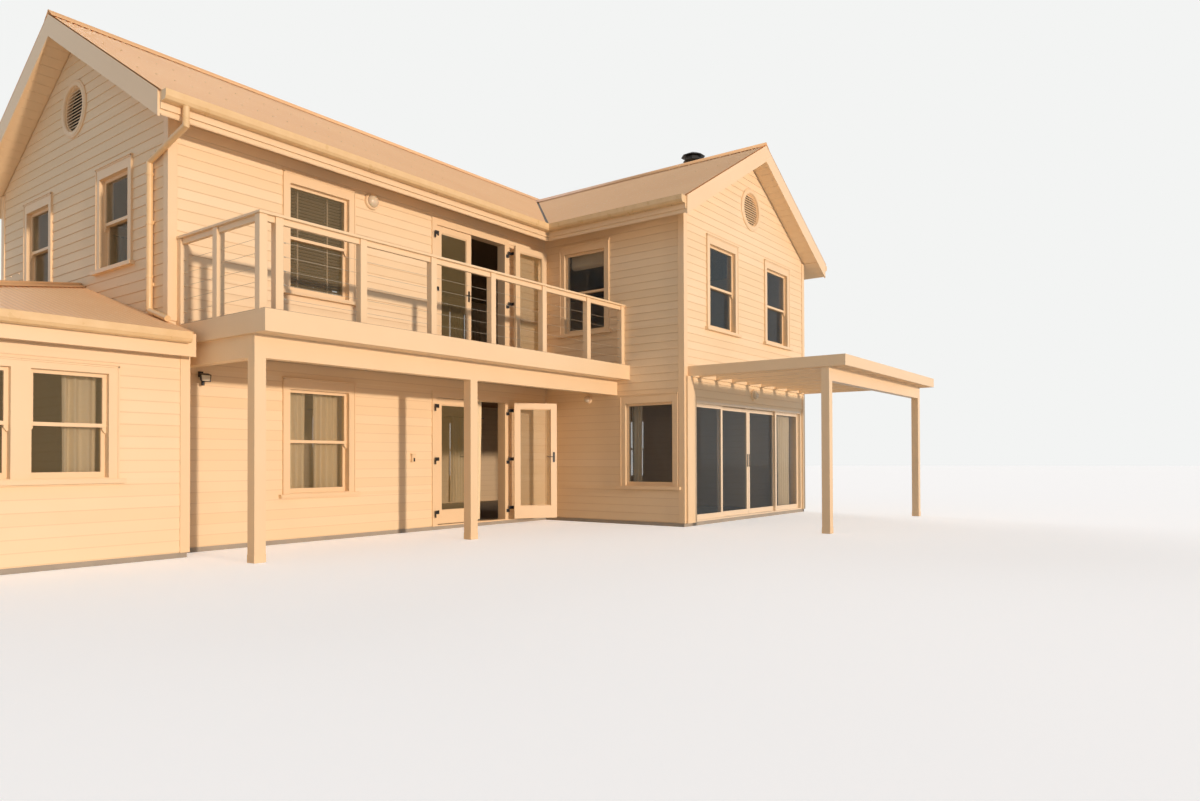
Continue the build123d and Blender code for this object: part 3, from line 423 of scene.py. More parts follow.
add_block(corners, 0.0, corner_width, -corner_proud, 0.0, corner_foot, 2.44)
for bottom, top in ((2.76, cross_side_top - under_roof), (corner_foot, 2.44)):
    add_block(corners, cross_left - 0.025, cross_left, -0.025, 0.0, bottom, top)
make_piece("corner_boards", corners, trim_paint, bevel=0.003)

# Roof sheets: corrugated painted steel, ribs of 76 mm pitch and 17 mm depth, screwed down
# over each slope from the eaves to the ridge, with folded caps over ridges and hips
rib_pitch = 0.076
rib_depth = 0.017
steps_per_rib = 6
sheet_seat = 0.004


def roof_height(x, y, slope):
    """The top of a roof slab over a place of the plan."""
    return {
        "main_front": ridge_z - main_slope * (ridge_y - y),
        "main_rear": ridge_z - main_slope * (y - ridge_y),
        "cross_left": cross_ridge_z - cross_slope * (cross_ridge_x - x),
        "cross_right": cross_ridge_z - cross_slope * (x - cross_ridge_x),
        "low_front": low_peak_z - low_slope * (low_peak_y - y),
        "low_rear": low_peak_z - low_slope * (y - low_peak_y),
        "low_left": low_peak_z + low_hip_slope * x,
    }[slope]


def add_sheet(bm, slope, across, outline):
    """Corrugated sheet over one slope: its ribs run up the slope, and the outline is its plan."""
    places = [point[0 if across == "x" else 1] for point in outline]
    start, end = min(places) + 0.001, max(places) - 0.001
    count = max(2, round((end - start) / rib_pitch * steps_per_rib))
    turned = outline if across == "y" else [(y, x) for x, y in outline]
    before = None
    for step in range(count + 1):
        along = start + (end - start) * step / count
        cut = slice_at(turned, along)
        if not cut:
            continue
        rise = sheet_seat + rib_depth / 2 * (1 + math.cos(2 * math.pi * (along - start) / rib_pitch))
        row = []
        for other in cut:
            x, y = (along, other) if across == "x" else (other, along)
            row.append(bm.verts.new(in_row(x, y, roof_height(x, y, slope) + rise)))
        if before:
            bm.faces.new((before[0], before[1], row[1], row[0]))
        before = row


eaves_lip = 0.05
verge_left, verge_right = -0.34, 12.28
main_eaves, main_eaves_right, rear_eaves = -0.435, -0.24, 5.835
cross_verge = -3.34
cross_eaves_left, cross_eaves_right, right_end_valley = 6.52, 12.375, 12.255
low_eaves_left, low_eaves_front, low_eaves_rear = -3.525, -0.625, 5.525
valley_y = ridge_y - (ridge_z - cross_ridge_z) / main_slope
valley_gap = 0.035
sheets = bmesh.new()
for slope, across, outline in (
    ("main_front", "x", [
        (verge_left, main_eaves - eaves_lip),
        (cross_eaves_left, main_eaves - eaves_lip),
        (cross_eaves_left, main_eaves + valley_gap),
        (cross_ridge_x, valley_y + valley_gap),
        (right_end_valley, main_eaves_right + valley_gap),
        (verge_right, main_eaves_right),
        (verge_right, ridge_y),
        (verge_left, ridge_y),
    ]),
    ("main_rear", "x", rectangle(verge_left, verge_right, ridge_y, rear_eaves)),
    ("cross_left", "y", [
        (cross_eaves_left - eaves_lip, cross_verge),
        (cross_ridge_x, cross_verge),
        (cross_ridge_x, valley_y - valley_gap),
        (cross_eaves_left, main_eaves - valley_gap),
        (cross_eaves_left - eaves_lip, main_eaves - valley_gap),
    ]),
    ("cross_right", "y", [
        (cross_ridge_x, cross_verge),
        (cross_eaves_right + eaves_lip, cross_verge),
        (cross_eaves_right + eaves_lip, -0.3),
        (right_end_valley, -0.22 - valley_gap),
        (cross_ridge_x, valley_y - valley_gap),
    ]),
    ("low_front", "x", [
        (low_eaves_left, low_eaves_front - eaves_lip),
        (0.0, low_eaves_front - eaves_lip),
        (0.0, low_peak_y),
        (low_eaves_left, low_eaves_front),
    ]),
    ("low_rear", "x", [
        (low_eaves_left, low_eaves_rear + eaves_lip),
        (0.0, low_eaves_rear + eaves_lip),
        (0.0, low_peak_y),
        (low_eaves_left, low_eaves_rear),
    ]),
    ("low_left", "y", [
        (low_eaves_left - eaves_lip, low_eaves_front),
        (0.0, low_peak_y),
        (low_eaves_left - eaves_lip, low_eaves_rear),
    ]),
):
    add_sheet(sheets, slope, across, outline)

# Roof paint: matt terracotta-pink baked on the steel, chalked by the sun, darker in the troughs
# as painted shade in the hollows of the ribs and dust, and with pale lichen specks about 20 mm across
roof_paint, tree, place, shader = new_material("chalked_roof_paint")
wash = add(tree, "TexNoise", {"Vector": place, "Scale": 0.8, "Detail": 5.0})
specks = add(tree, "TexNoise", {"Vector": place, "Scale": 28.0, "Detail": 3.0})
spots = add(tree, "MapRange", {"Value": specks, "From Min": 0.6, "From Max": 0.72, "To Max": 0.5})
tone = add(tree, "Mix", {0: wash, 6: "#F3C08A", 7: "#FDD09A"}, data_type="RGBA")
bowed = add(tree, "NewGeometry").outputs["Pointiness"]
# Painted shade with dust: darker in the troughs, where the sheet's surface is hollow
trough_shade_and_dust = add(tree, "MapRange", {
    "Value": bowed, "From Min": 0.46, "From Max": 0.5, "To Min": 0.5, "To Max": 0.0,
})
dusty = add(tree, "Mix", {0: trough_shade_and_dust, 6: tone, 7: "#D0A275"}, data_type="RGBA")
worn = add(tree, "Mix", {0: spots, 6: dusty, 7: "#FFE2C2"}, data_type="RGBA")
relief = add(tree, "Bump", {"Height": specks, "Strength": 0.1, "Distance": 0.001})
fill(tree, shader, {"Base Color": worn, "Normal": relief, "Roughness": 0.6})
make_piece("roof_sheets", sheets, roof_paint, smooth=True)


def add_cap(bm, start, end, sides, wing=0.15, roll=0.022):
    """A folded cap along a ridge or hip: a roll with a wing down each side of it."""
    profile = [sides[0] * wing]
    for step in range(7):
        turn = math.pi * step / 6
        bow = (sides[0] - sides[1]).normalized() * math.cos(turn) * roll
        profile.append(bow + Vector((0, 0, roll * (0.6 + math.sin(turn)))))
    profile.append(sides[1] * wing)
    rows = [[bm.verts.new(point + offset) for offset in profile] for point in (start, end)]
    for step in range(len(profile) - 1):
        bm.faces.new((rows[0][step], rows[0][step + 1], rows[1][step + 1], rows[1][step]))


def downhill(x, y, slope):
    return Vector((x, y, -slope)).normalized()


caps = bmesh.new()
lift = Vector((0, 0, 0.03))
for start, end, z, sides in (
    (
        (verge_left, ridge_y), (verge_right, ridge_y), ridge_z,
        [downhill(0, -1, main_slope), downhill(0, 1, main_slope)],
    ),
    (
        (cross_ridge_x, cross_verge), (cross_ridge_x, valley_y + 0.04), cross_ridge_z,
        [downhill(-1, 0, cross_slope), downhill(1, 0, cross_slope)],
    ),
):
    add_cap(caps, in_row(*start, z) + lift, in_row(*end, z) + lift, sides)
for foot_y, side in ((low_eaves_front, -1), (low_eaves_rear, 1)):
    foot = in_row(low_eaves_left, foot_y, low_peak_z - low_rise) + lift
    peak = in_row(-0.02, low_peak_y + 0.02 * side, 3.505) + lift
    hip = (peak - foot).normalized()
    fall_side = hip.cross(Vector((0, side * low_slope, 1)).normalized()).normalized()
    fall_left = hip.cross(Vector((-low_hip_slope, 0, 1)).normalized()).normalized()
    fall_side = fall_side if fall_side.y * side > 0 else -fall_side
    fall_left = fall_left if fall_left.x < 0 else -fall_left
    add_cap(caps, foot, peak, [fall_side, fall_left], wing=0.12)
cap_piece = make_piece("ridge_caps", caps, roof_paint, smooth=True)
thick = cap_piece.modifiers.new("sheet thickness", "SOLIDIFY")
thick.thickness = 0.002
dress(trim_paint, "main_roof_front", "main_roof_rear", "cross_roof_left", "cross_roof_right", "low_roof")

# Valley trays: folded zinc-coated steel laid under the sheets' cut edges.
# Valley steel: galvanised steel painted dark matt grey-brown as the shade in the valley's gap, in
# patches of dirt about 70 mm across
tray_steel, tree, place, shader = new_material("valley_steel_painted_shade")
dirt = add(tree, "TexNoise", {"Vector": place, "Scale": 14.0, "Detail": 4.0})
# The dark grey-brown is painted shade for the gap under the sheets' cut edges
tone = add(tree, "Mix", {0: dirt, 6: "#4E4034", 7: "#7C6854"}, data_type="RGBA")
fill(tree, shader, {"Base Color": tone, "Roughness": 0.7})
trays = bmesh.new()
tray_wing = 0.085
tray_steel_depth = 0.003
for slope, foot_x in (("cross_left", 6.50), ("cross_right", 12.36)):
    foot_y = (roof_height(foot_x, 0.0, slope) - ridge_z) / main_slope + ridge_y
    ends = []
    for x, y in ((foot_x, foot_y), (cross_ridge_x, valley_y)):
        section = []
        for step, side in ((tray_wing, "main_front"), (0.0, "main_front"), (-tray_wing, slope)):
            section.append(in_row(x, y + step, roof_height(x, y + step, side) + sheet_seat))
        ends.append(section + [point - Vector((0, 0, tray_steel_depth)) for point in reversed(section)])
    add_prism(trays, *ends)
make_piece("valley_trays", trays, tray_steel)

# Roof screws: painted steel with bevelled washer heads, driven through the crest of every
# third rib, in four rows up each slope
screws = bmesh.new()
screw_rows = 4
screw_pitch = 3 * rib_pitch
screw_head, screw_height = 0.011, 0.009
rim = [(math.cos(turn * math.pi / 4), math.sin(turn * math.pi / 4)) for turn in range(8)]
for slope, across, start, end, foot, head in (
    ("main_front", "x", verge_left, 6.45, -0.40, 2.52),
    ("main_front", "x", 9.60, 12.10, 0.60, 2.52),
    ("main_rear", "x", verge_left, verge_right, 5.75, 2.83),
    ("cross_left", "y", cross_verge, -0.48, 6.56, 9.30),
    ("cross_right", "y", cross_verge, -0.35, 12.33, 9.60),
    ("low_left", "y", 0.20, 4.70, -3.49, -1.40),
):
    for step in range(math.floor((end - start) / screw_pitch)):
        along = start + 0.001 + (step + 1) * screw_pitch
        for row in range(screw_rows):
            other = foot + (head - foot) * row / (screw_rows - 1)
            x, y = (along, other) if across == "x" else (other, along)
            z = roof_height(x, y, slope) + rib_depth + 0.003
            add_prism(screws, *[
                [in_row(x + radius * c, y + radius * d, level) for c, d in rim]
                for radius, level in ((screw_head, z), (screw_head * 0.6, z + screw_height))
            ])
make_piece("roof_screws", screws, trim_paint, smooth=True)

# Soffits: boards 140 mm wide nailed up side by side under the overhanging roofs and painted
# with the trim; the bargeboards and fascias that close them have the same paint
soffits = bmesh.new()
soffit_width, soffit_joint = 0.14, 0.004


def add_soffit(bm, slope, x0, x1, y0, y1, along):
    """Boards under a roof slope, side by side across the plan between two corners."""
    start, end = (x0, x1) if along == "y" else (y0, y1)
    count = max(1, round((end - start) / soffit_width))
    pitch = (end - start) / count
    for step in range(count):
        low = start + step * pitch
        high = low + pitch - soffit_joint
        plan = rectangle(low, high, y0, y1) if along == "y" else rectangle(x0, x1, low, high)
        add_prism(bm, *[
            [in_row(x, y, roof_height(x, y, slope) - roof_depth - gap) for x, y in plan]
            for gap in (board_gap, 0.0)
        ])


for slope, x0, x1, y0, y1, along in (
    ("main_front", -0.30, 6.50, -0.43, -0.02, "x"),
    ("main_rear", -0.30, 12.24, 5.37, 5.78, "x"),
    ("main_front", -0.312, -0.022, 0.0, 2.67, "x"),
    ("main_rear", -0.312, -0.022, 2.68, house_depth, "x"),
    ("main_front", 11.962, 12.252, 0.0, 2.67, "x"),
    ("main_rear", 11.962, 12.252, 2.68, house_depth, "x"),
    ("cross_left", 6.525, 6.935, -3.312, -0.45, "y"),
    ("cross_right", 11.96, 12.37, -3.312, -0.25, "y"),
    ("cross_left", cross_left, 9.44, -3.312, -3.022, "y"),
    ("cross_right", 9.455, house_length, -3.312, -3.022, "y"),
):
    add_soffit(soffits, slope, x0, x1, y0, y1, along)
make_piece("soffit_boards", soffits, trim_paint)
dress(trim_paint, "bargeboards", "fascias")

# Gutters and downpipe: folded steel gutters with a rolled front lip, hung on brackets round
# a half-round trough, and a round pipe that brings the front one's water to the low roof.
# Enamelled steel: glossy cream, with streaks of drier, darker film about 0.15 m long
gutter_paint, tree, place, shader = new_material("cream_enamelled_gutter_steel")
streaks = add(tree, "TexNoise", {"Vector": place, "Scale": 7.0, "Detail": 5.0})
tone = add(tree, "Mix", {0: streaks, 6: "#E3BC84", 7: "#F3D2A0"}, data_type="RGBA")
sheen = add(tree, "MapRange", {
    "Value": streaks, "From Min": 0.3, "From Max": 0.7, "To Min": 0.25, "To Max": 0.42,
})
fill(tree, shader, {"Base Color": tone, "Roughness": sheen, "Coat Weight": 0.15})
dress(gutter_paint, "gutters")


def add_rod(bm, start, end, radius, sides=10):
    """A round rod between two points."""
    way = (end - start).normalized()
    side = way.orthogonal().normalized()
    other = way.cross(side)
    turns = [2 * math.pi * step / sides for step in range(sides)]
    rim = [side * math.cos(turn) * radius + other * math.sin(turn) * radius for turn in turns]
    add_prism(bm, [start + offset for offset in rim], [end + offset for offset in rim])


lips = bmesh.new()
main_lip_z = 5.33 - 0.004
low_lip_z = 2.576 - 0.004
lip_left, lip_front, lip_rear, lip_right_end = -0.315, -0.572, 5.922, 12.255
cross_lip_left, cross_lip_right, cross_lip_end = 6.383, 12.512, -3.315
low_lip_left, low_lip_front, low_lip_rear = -3.662, -0.762, 5.662
lip_radius = 0.007
clip_spacing, clip_half, clip_reach = 0.9, 0.012, 0.12
pipe_x, pipe_y = -0.058, 0.36
for start, end, z in (
    ((lip_left, lip_front), (6.375, lip_front), main_lip_z),
    ((cross_lip_left, -0.460), (cross_lip_left, cross_lip_end), main_lip_z),
    ((cross_lip_right, cross_lip_end), (cross_lip_right, -0.435), main_lip_z),
    ((lip_right_end, lip_rear), (lip_left, lip_rear), main_lip_z),
    ((low_lip_left, low_lip_front), (-0.100, low_lip_front), low_lip_z),
    ((low_lip_left, 5.542), (low_lip_left, -0.642), low_lip_z),
    ((0.0, low_lip_rear), (low_lip_left, low_lip_rear), low_lip_z),
):
    add_rod(lips, in_row(*start, z), in_row(*end, z), lip_radius)
for z in (3.35, 4.0, 4.6):
    add_rod(lips, in_row(pipe_x, pipe_y, z), in_row(pipe_x, pipe_y, z + 0.03), 0.044, sides=20)
for start, end, z, out_x, out_y in (
    ((-0.20, lip_front), (6.30, lip_front), main_lip_z, 0, 1),
    ((cross_lip_left, -0.60), (cross_lip_left, -3.20), main_lip_z, 1, 0),
    ((cross_lip_right, -3.20), (cross_lip_right, -0.60), main_lip_z, -1, 0),
    ((12.10, lip_rear), (-0.20, lip_rear), main_lip_z, 0, -1),
    ((-3.50, low_lip_front), (-0.25, low_lip_front), low_lip_z, 0, 1),
    ((low_lip_left, 5.40), (low_lip_left, -0.50), low_lip_z, 1, 0),
    ((-0.15, low_lip_rear), (-3.50, low_lip_rear), low_lip_z, 0, -1),
):
    count = max(1, round(math.hypot(end[0] - start[0], end[1] - start[1]) / clip_spacing))
    for step in range(count + 1):
        x = start[0] + (end[0] - start[0]) * step / count
        y = start[1] + (end[1] - start[1]) * step / count
        x_in = sorted((x - clip_half * abs(out_y), x + clip_half * abs(out_y) + clip_reach * out_x))
        y_in = sorted((y - clip_half * abs(out_x), y + clip_half * abs(out_x) + clip_reach * out_y))
        add_block(lips, *x_in, *y_in, z + 0.002, z + 0.005)
add_rod(lips, in_row(pipe_x, 0.34, 2.945), in_row(pipe_x, -0.10, 2.805), 0.037, sides=20)
make_piece("gutter_lips_and_clips", lips, gutter_paint)


def add_gutter(bm, path, top, profile):
    """A folded gutter with mitred corners along its lip's path; the house is on the left."""
    legs = [Vector(there) - Vector(start) for start, there in zip(path, path[1:])]
    rows = []
    for step, here in enumerate(path):
        normals = [Vector((-way.y, way.x)).normalized() for way in legs[max(0, step - 1):step + 1]]
        turned = normals[0].dot(normals[1]) if len(normals) > 1 else 0.0
        mitre = sum(normals, Vector((0.0, 0.0))) / (1.0 + turned)
        rows.append([in_row(here[0] + mitre.x * d, here[1] + mitre.y * d, top + z) for d, z in profile])
    sections = [[bm.verts.new(point) for point in row] for row in rows]
    for before, after in zip(sections, sections[1:]):
        for spot in range(len(profile)):
            beside = (spot + 1) % len(profile)
            bm.faces.new((before[spot], before[beside], after[beside], after[spot]))
    bm.faces.new(list(reversed(sections[0])))
    bm.faces.new(sections[-1])
    for row, inner in ((rows[0], rows[1]), (rows[-1], rows[-2])):
        outer = row[:len(profile) // 2]
        outward = (row[0] - inner[0]).normalized()
        add_prism(bm, *[[point + outward * out for point in outer] for out in (0.0003, 0.002)])


gutter_profile = [
    (0.1115, 0.004), (0.1115, -0.116), (0.034, -0.116), (0.010, -0.106), (-0.0079, -0.072), (-0.0079, -0.002),
    (-0.0049, -0.002), (-0.0049, -0.071), (0.012, -0.103), (0.035, -0.113), (0.1085, -0.113), (0.1085, 0.004),
]
folded = bmesh.new()
for lip_path, top in (
    (((lip_left, lip_front), (cross_lip_left, lip_front), (cross_lip_left, cross_lip_end)), main_lip_z),
    (((cross_lip_right, cross_lip_end), (cross_lip_right, -0.435)), main_lip_z),
    (((lip_right_end, lip_rear), (lip_left, lip_rear)), main_lip_z),
    ((
        (-0.020, low_lip_rear), (low_lip_left, low_lip_rear), (low_lip_left, low_lip_front),
        (-0.100, low_lip_front),
    ), low_lip_z),
):
    add_gutter(folded, lip_path, top, gutter_profile)
make_piece("folded_gutter_fronts", folded, gutter_paint)

# Round vents: a turned timber ring with thirteen thin blades let into its sleeve, and dark
# fly mesh behind them.
# Vent mesh: woven plastic, matt and nearly black in the shade of the blades
vent_mesh, tree, place, shader = new_material("dark_vent_mesh")
weave = add(tree, "TexNoise", {"Vector": place, "Scale": 300.0})
tone = add(tree, "Mix", {0: weave, 6: "#3B3A36", 7: "#5A564C"}, data_type="RGBA")
fill(tree, shader, {"Base Color": tone, "Roughness": 0.9})


def add_turned(bm, face, middle, height, profile, turns=48, closed=False):
    """A turned form: its profile of (radius, out) pairs goes round an axis square to a wall."""
    rows = []
    for step in range(turns):
        turn = 2 * math.pi * step / turns
        rows.append([
            bm.verts.new(face(middle + radius * math.cos(turn), out, height + radius * math.sin(turn)))
            for radius, out in profile
        ])
    last = len(profile) if closed else len(profile) - 1
    for step in range(turns):
        here, there = rows[step], rows[(step + 1) % turns]
        for spot in range(last):
            after = (spot + 1) % len(profile)
            bm.faces.new((here[spot], here[after], there[after], there[spot]))


vent_ring = [
    (0.400, 0.0), (0.400, 0.024), (0.392, 0.030), (0.380, 0.030), (0.374, 0.036), (0.362, 0.040),
    (0.330, 0.040), (0.316, 0.034), (0.310, 0.020), (0.310, -0.148), (0.296, -0.148), (0.296, 0.0),
]
blade_circle = 0.305
blade_pitch = 0.044
blade_depth = 0.060
blade_thickness = 0.007
blade_set_back = -0.002
blade_fall = math.radians(52)
mesh_radius, mesh_back, mesh_front = 0.302, -0.075, -0.073
vents = bmesh.new()
vent_backs = bmesh.new()
for wall, middle, height in (
    ("left", ridge_y, left_vent_z),
    ("cross_front", cross_ridge_x, cross_vent_z),
):
    face = faces[wall]
    add_turned(vents, face, middle, height, vent_ring, closed=True)
    for step in range(-6, 7):
        centre = step * blade_pitch
        front_z = centre - blade_depth / 2 * math.sin(blade_fall)
        back_z = centre + blade_depth / 2 * math.sin(blade_fall)
        front_half = math.sqrt(max(0.0, blade_circle ** 2 - front_z ** 2))
        back_half = math.sqrt(max(0.0, blade_circle ** 2 - back_z ** 2))
        back = blade_set_back - blade_depth * math.cos(blade_fall)
        plan = [
            (middle - front_half, blade_set_back, front_z),
            (middle + front_half, blade_set_back, front_z),
            (middle + back_half, back, back_z),
            (middle - back_half, back, back_z),
        ]
        add_prism(vents, *[
            [face(a, d, height + z + up) for a, d, z in plan] for up in (0.0, blade_thickness)
        ])
    turns = [step * math.pi / 16 for step in range(32)]
    disc = [(mesh_radius * math.cos(turn), mesh_radius * math.sin(turn)) for turn in turns]
    add_prism(vent_backs, *[
        [face(middle + a, d, height + z) for a, z in disc] for d in (mesh_back, mesh_front)
    ])
vent_piece = make_piece("round_louvred_vents", vents, trim_paint)
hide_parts("gable_vents")
make_piece("vent_fly_mesh", vent_backs, vent_mesh)

# Sash windows: painted timber frames. Here come the bands round the casings, the drip boards
# over their heads, the horns under the upper sashes and the catches on the meeting rails.
bands = bmesh.new()
low_mullion = -1.675
band_width = 0.018
band_back, band_front = 0.028, 0.036
drip_height, drip_front, drip_overhang = 0.014, 0.046, 0.012


def add_plate(bm, wall, outline, d0, d1):
    """A flat plate on a wall: its outline is in (along, up), from d0 to d1 out of the face."""
    add_prism(bm, *[[faces[wall](a, d, z) for a, z in outline] for d in (d0, d1)])


for wall, middle, width, storey in windows:
    sill, head, head_board, rail = storeys[storey]
    top = head + head_board
    half = width / 2 + casing_width
    start, end = middle - half, middle + half
    uprights = (start, end - band_width)
    drip = drip_overhang
    if storey == "low":
        drip = 0.0
        if middle < low_mullion:
            end, uprights = low_mullion, uprights[:1]
        else:
            start, uprights = low_mullion, uprights[1:]
    for a in uprights:
        add_plate(bands, wall, rectangle(a, a + band_width, sill, top), band_back, band_front)
    add_plate(bands, wall, rectangle(start, end, top - band_width, top), band_back, band_front)
    add_plate(bands, wall, rectangle(start - drip, end + drip, top, top + drip_height), 0.0, drip_front)
    if (wall, storey) == ("cross_side", "lower"):
        continue
    for side in (-1, 1):
        edge = middle + side * (width / 2 - 0.012)
        add_plate(bands, wall, [
            (edge, rail - 0.02),
            (edge - side * 0.04, rail - 0.02),
            (edge - side * 0.04, rail - 0.045),
            (edge - side * 0.012, rail - 0.085),
            (edge, rail - 0.085),
        ], -0.073, -0.036)
    add_plate(bands, wall, [
        (middle - 0.03, rail + 0.02),
        (middle + 0.03, rail + 0.02),
        (middle + 0.022, rail + 0.034),
        (middle - 0.022, rail + 0.034),
    ], -0.106, -0.078)
make_piece("window_bands_and_horns", bands, trim_paint, bevel=0.002)
dress(trim_paint, "main_window_frames", "cross_window_frames", "low_window_frame")

# Window and door glass: clear float glass in putty or beads, with a slight ripple. Its brown or
# grey tint is painted, for the unlit rooms seen through it and the warm light and reflections on the panes
for name, painted_room_tint, painted_tint_alpha, fixed_panes, doors in (
    ("clear_float_glass", "#8A7B55", 0.24, "main_glass", "french_door"),
    ("grey_float_glass", "#4C5F69", 0.20, "cross_glass", "sliding_door"),
):
    float_glass, tree, place, shader = new_material(name)
    ripple = add(tree, "TexNoise", {"Vector": place, "Scale": 2.0, "Detail": 1.0})
    relief = add(tree, "Bump", {"Height": ripple, "Strength": 0.05, "Distance": 0.004})
    # The tint, let through by alpha, is painted: the dim rooms and the warm light and reflections in the
    # panes
    fill(tree, shader, {"Base Color": painted_room_tint, "Normal": relief, "Roughness": 0.03, "IOR": 1.52, "Alpha": painted_tint_alpha})
    dress(float_glass, fixed_panes, doors + "_left_glass", doors + "_right_glass")

# Upper ceiling: plasterboard nailed under the roof frame.
# Its warm matt paint is rolled on, which leaves a fine stipple, and is dim in the unlit rooms
lining_paint, tree, place, shader = new_material("warm_plasterboard_paint")
roller = add(tree, "TexNoise", {"Vector": place, "Scale": 60.0, "Detail": 3.0})
tone = add(tree, "Mix", {0: roller, 6: "#8F7B60", 7: "#9C876B"}, data_type="RGBA")
fill(tree, shader, {"Base Color": tone, "Roughness": 0.8})
dress(lining_paint, "upper_ceiling")

# Curtains: unlined linen-look cotton hung in soft folds from a rod behind each window; the
# cloth falls straight, and its folds open a little towards the hem.
# Linen-look cotton: matt and pale, with slubs and level threads drawn coarse enough to show
curtain_cloth, tree, place, shader = new_material("linen_look_cotton")
threads = add(tree, "TexWave", {"Vector": place, "Scale": 110.0, "Distortion": 1.5}, bands_direction="Z")
slub = add(tree, "TexNoise", {"Vector": place, "Scale": 35.0, "Detail": 4.0})
tone = add(tree, "Mix", {0: slub, 6: "#F2DDB4", 7: "#FDEDCB"}, data_type="RGBA")
relief = add(tree, "Bump", {"Height": threads.outputs["Fac"], "Strength": 0.2, "Distance": 0.001})
fill(tree, shader, {"Base Color": tone, "Normal": relief, "Roughness": 0.85, "Sheen Weight": 0.2})

# Brushed nickel: a soft metal shine that changes with the fine brushing
rod_metal, tree, place, shader = new_material("brushed_nickel_rod")
brushed = add(tree, "TexNoise", {"Vector": place, "Scale": 400.0})
rough = add(tree, "MapRange", {"Value": brushed, "To Min": 0.28, "To Max": 0.45})
fill(tree, shader, {"Base Color": "#B8B2A6", "Metallic": 1.0, "Roughness": rough})

curtain_depth = -0.235
lining_face = -0.15
rods = bmesh.new()
curtain_rods = [
    ("front", 1.45, 2.70, 2.20),
    ("front", 4.22, 5.84, 2.24),
    ("low_front", -2.62, -0.74, 2.17),
    ("cross_front", 7.30, 11.80, 2.24),
    ("cross_side", -2.80, -1.78, 2.20),
    ("cross_front", 9.95, 11.25, 5.02),
    ("left", 0.95, 1.95, 4.98),
    ("left", 3.40, 4.40, 4.98),
]
rear_rods = ((1.45, 2.71), (5.34, 6.60), (9.23, 10.49))
curtain_rods += [("rear", a0, a1, z) for z in (2.20, 5.00) for a0, a1 in rear_rods]
for wall, a0, a1, z in curtain_rods:
    face = faces[wall]
    add_rod(rods, face(a0, curtain_depth, z), face(a1, curtain_depth, z), 0.011)
    for end in (a0 + 0.04, a1 - 0.04):
        add_rod(rods, face(end, curtain_depth, z), face(end, lining_face, z), 0.007, sides=6)
make_piece("curtain_rods", rods, rod_metal)


def hang_curtain(name, wall, a0, a1, top, bottom, folds, lean=0.0):
    """One curtain gathered on its rod between a0 and a1; it leans along the wall to its hem."""
    bm = bmesh.new()
    columns = folds * 12
    rows = 16
    fold_depth, fold_opening, fold_change, sway = 0.020, 0.014, 0.006, 0.006
    grid = []
    for row in range(rows + 1):
        fall = row / rows
        line = []
        for column in range(columns + 1):
            across = column / columns
            wave = math.sin(2 * math.pi * folds * across + 0.5 * math.sin(3.1 * across + fall))
            swell = fold_depth + fold_opening * fall + fold_change * math.sin(5.0 * across + 1.0)
            shift = lean * fall * fall + sway * math.sin(9.0 * across + 3.0 * fall)
            along, out = a0 + (a1 - a0) * across + shift, curtain_depth + wave * swell
            line.append(bm.verts.new(faces[wall](along, out, top + (bottom - top) * fall)))
        grid.append(line)
    for upper, lower in zip(grid, grid[1:]):
        for column in range(columns):
            bm.faces.new((upper[column], upper[column + 1], lower[column + 1], lower[column]))
    area = sum(one.calc_area() for one in bm.faces)
    piece = make_piece(name, bm, curtain_cloth, smooth=True)


lower_hem, upper_hem = 0.09, 2.80
for name, wall, a0, a1, top, bottom, folds, lean in (
    ("front_curtain_left", "front", 1.56, 2.00, 2.21, lower_hem, 5, 0.0),
    ("front_curtain_right", "front", 2.13, 2.60, 2.21, lower_hem, 5, 0.0),
    ("door_curtain_right", "front", 5.08, 5.50, 2.25, lower_hem, 4, -0.03),
    ("door_curtain_left", "front", 4.25, 4.40, 2.25, lower_hem, 2, 0.08),
    ("low_curtain_right", "low_front", -1.22, -0.88, 2.18, lower_hem, 3, 0.0),
    ("low_curtain_left", "low_front", -2.50, -2.20, 2.18, lower_hem, 3, 0.0),
    ("sliding_curtain_right", "cross_front", 11.10, 11.72, 2.25, lower_hem, 6, 0.0),
    ("sliding_curtain_left", "cross_front", 7.33, 7.50, 2.25, lower_hem, 2, 0.0),
    ("side_curtain", "cross_side", -2.02, -1.80, 2.21, lower_hem, 3, 0.0),
    ("upper_curtain", "cross_front", 10.28, 10.66, 5.03, upper_hem, 4, 0.0),
    ("gable_curtain_near", "left", 1.28, 1.50, 4.99, upper_hem, 3, 0.0),
    ("gable_curtain_far", "left", 3.78, 4.00, 4.99, upper_hem, 3, 0.0),
):
    hang_curtain(name, wall, a0, a1, top, bottom, folds, lean)
for storey, top, bottom in (("lower", 2.21, lower_hem), ("upper", 5.01, upper_hem)):
    for count, middle in enumerate(rear_middles):
        for side, a0, a1 in (("left", middle - 0.52, middle - 0.06), ("right", middle + 0.06, middle + 0.52)):
            hang_curtain(f"rear_{storey}_curtain_{count}_{side}", "rear", a0, a1, top, bottom, 5)

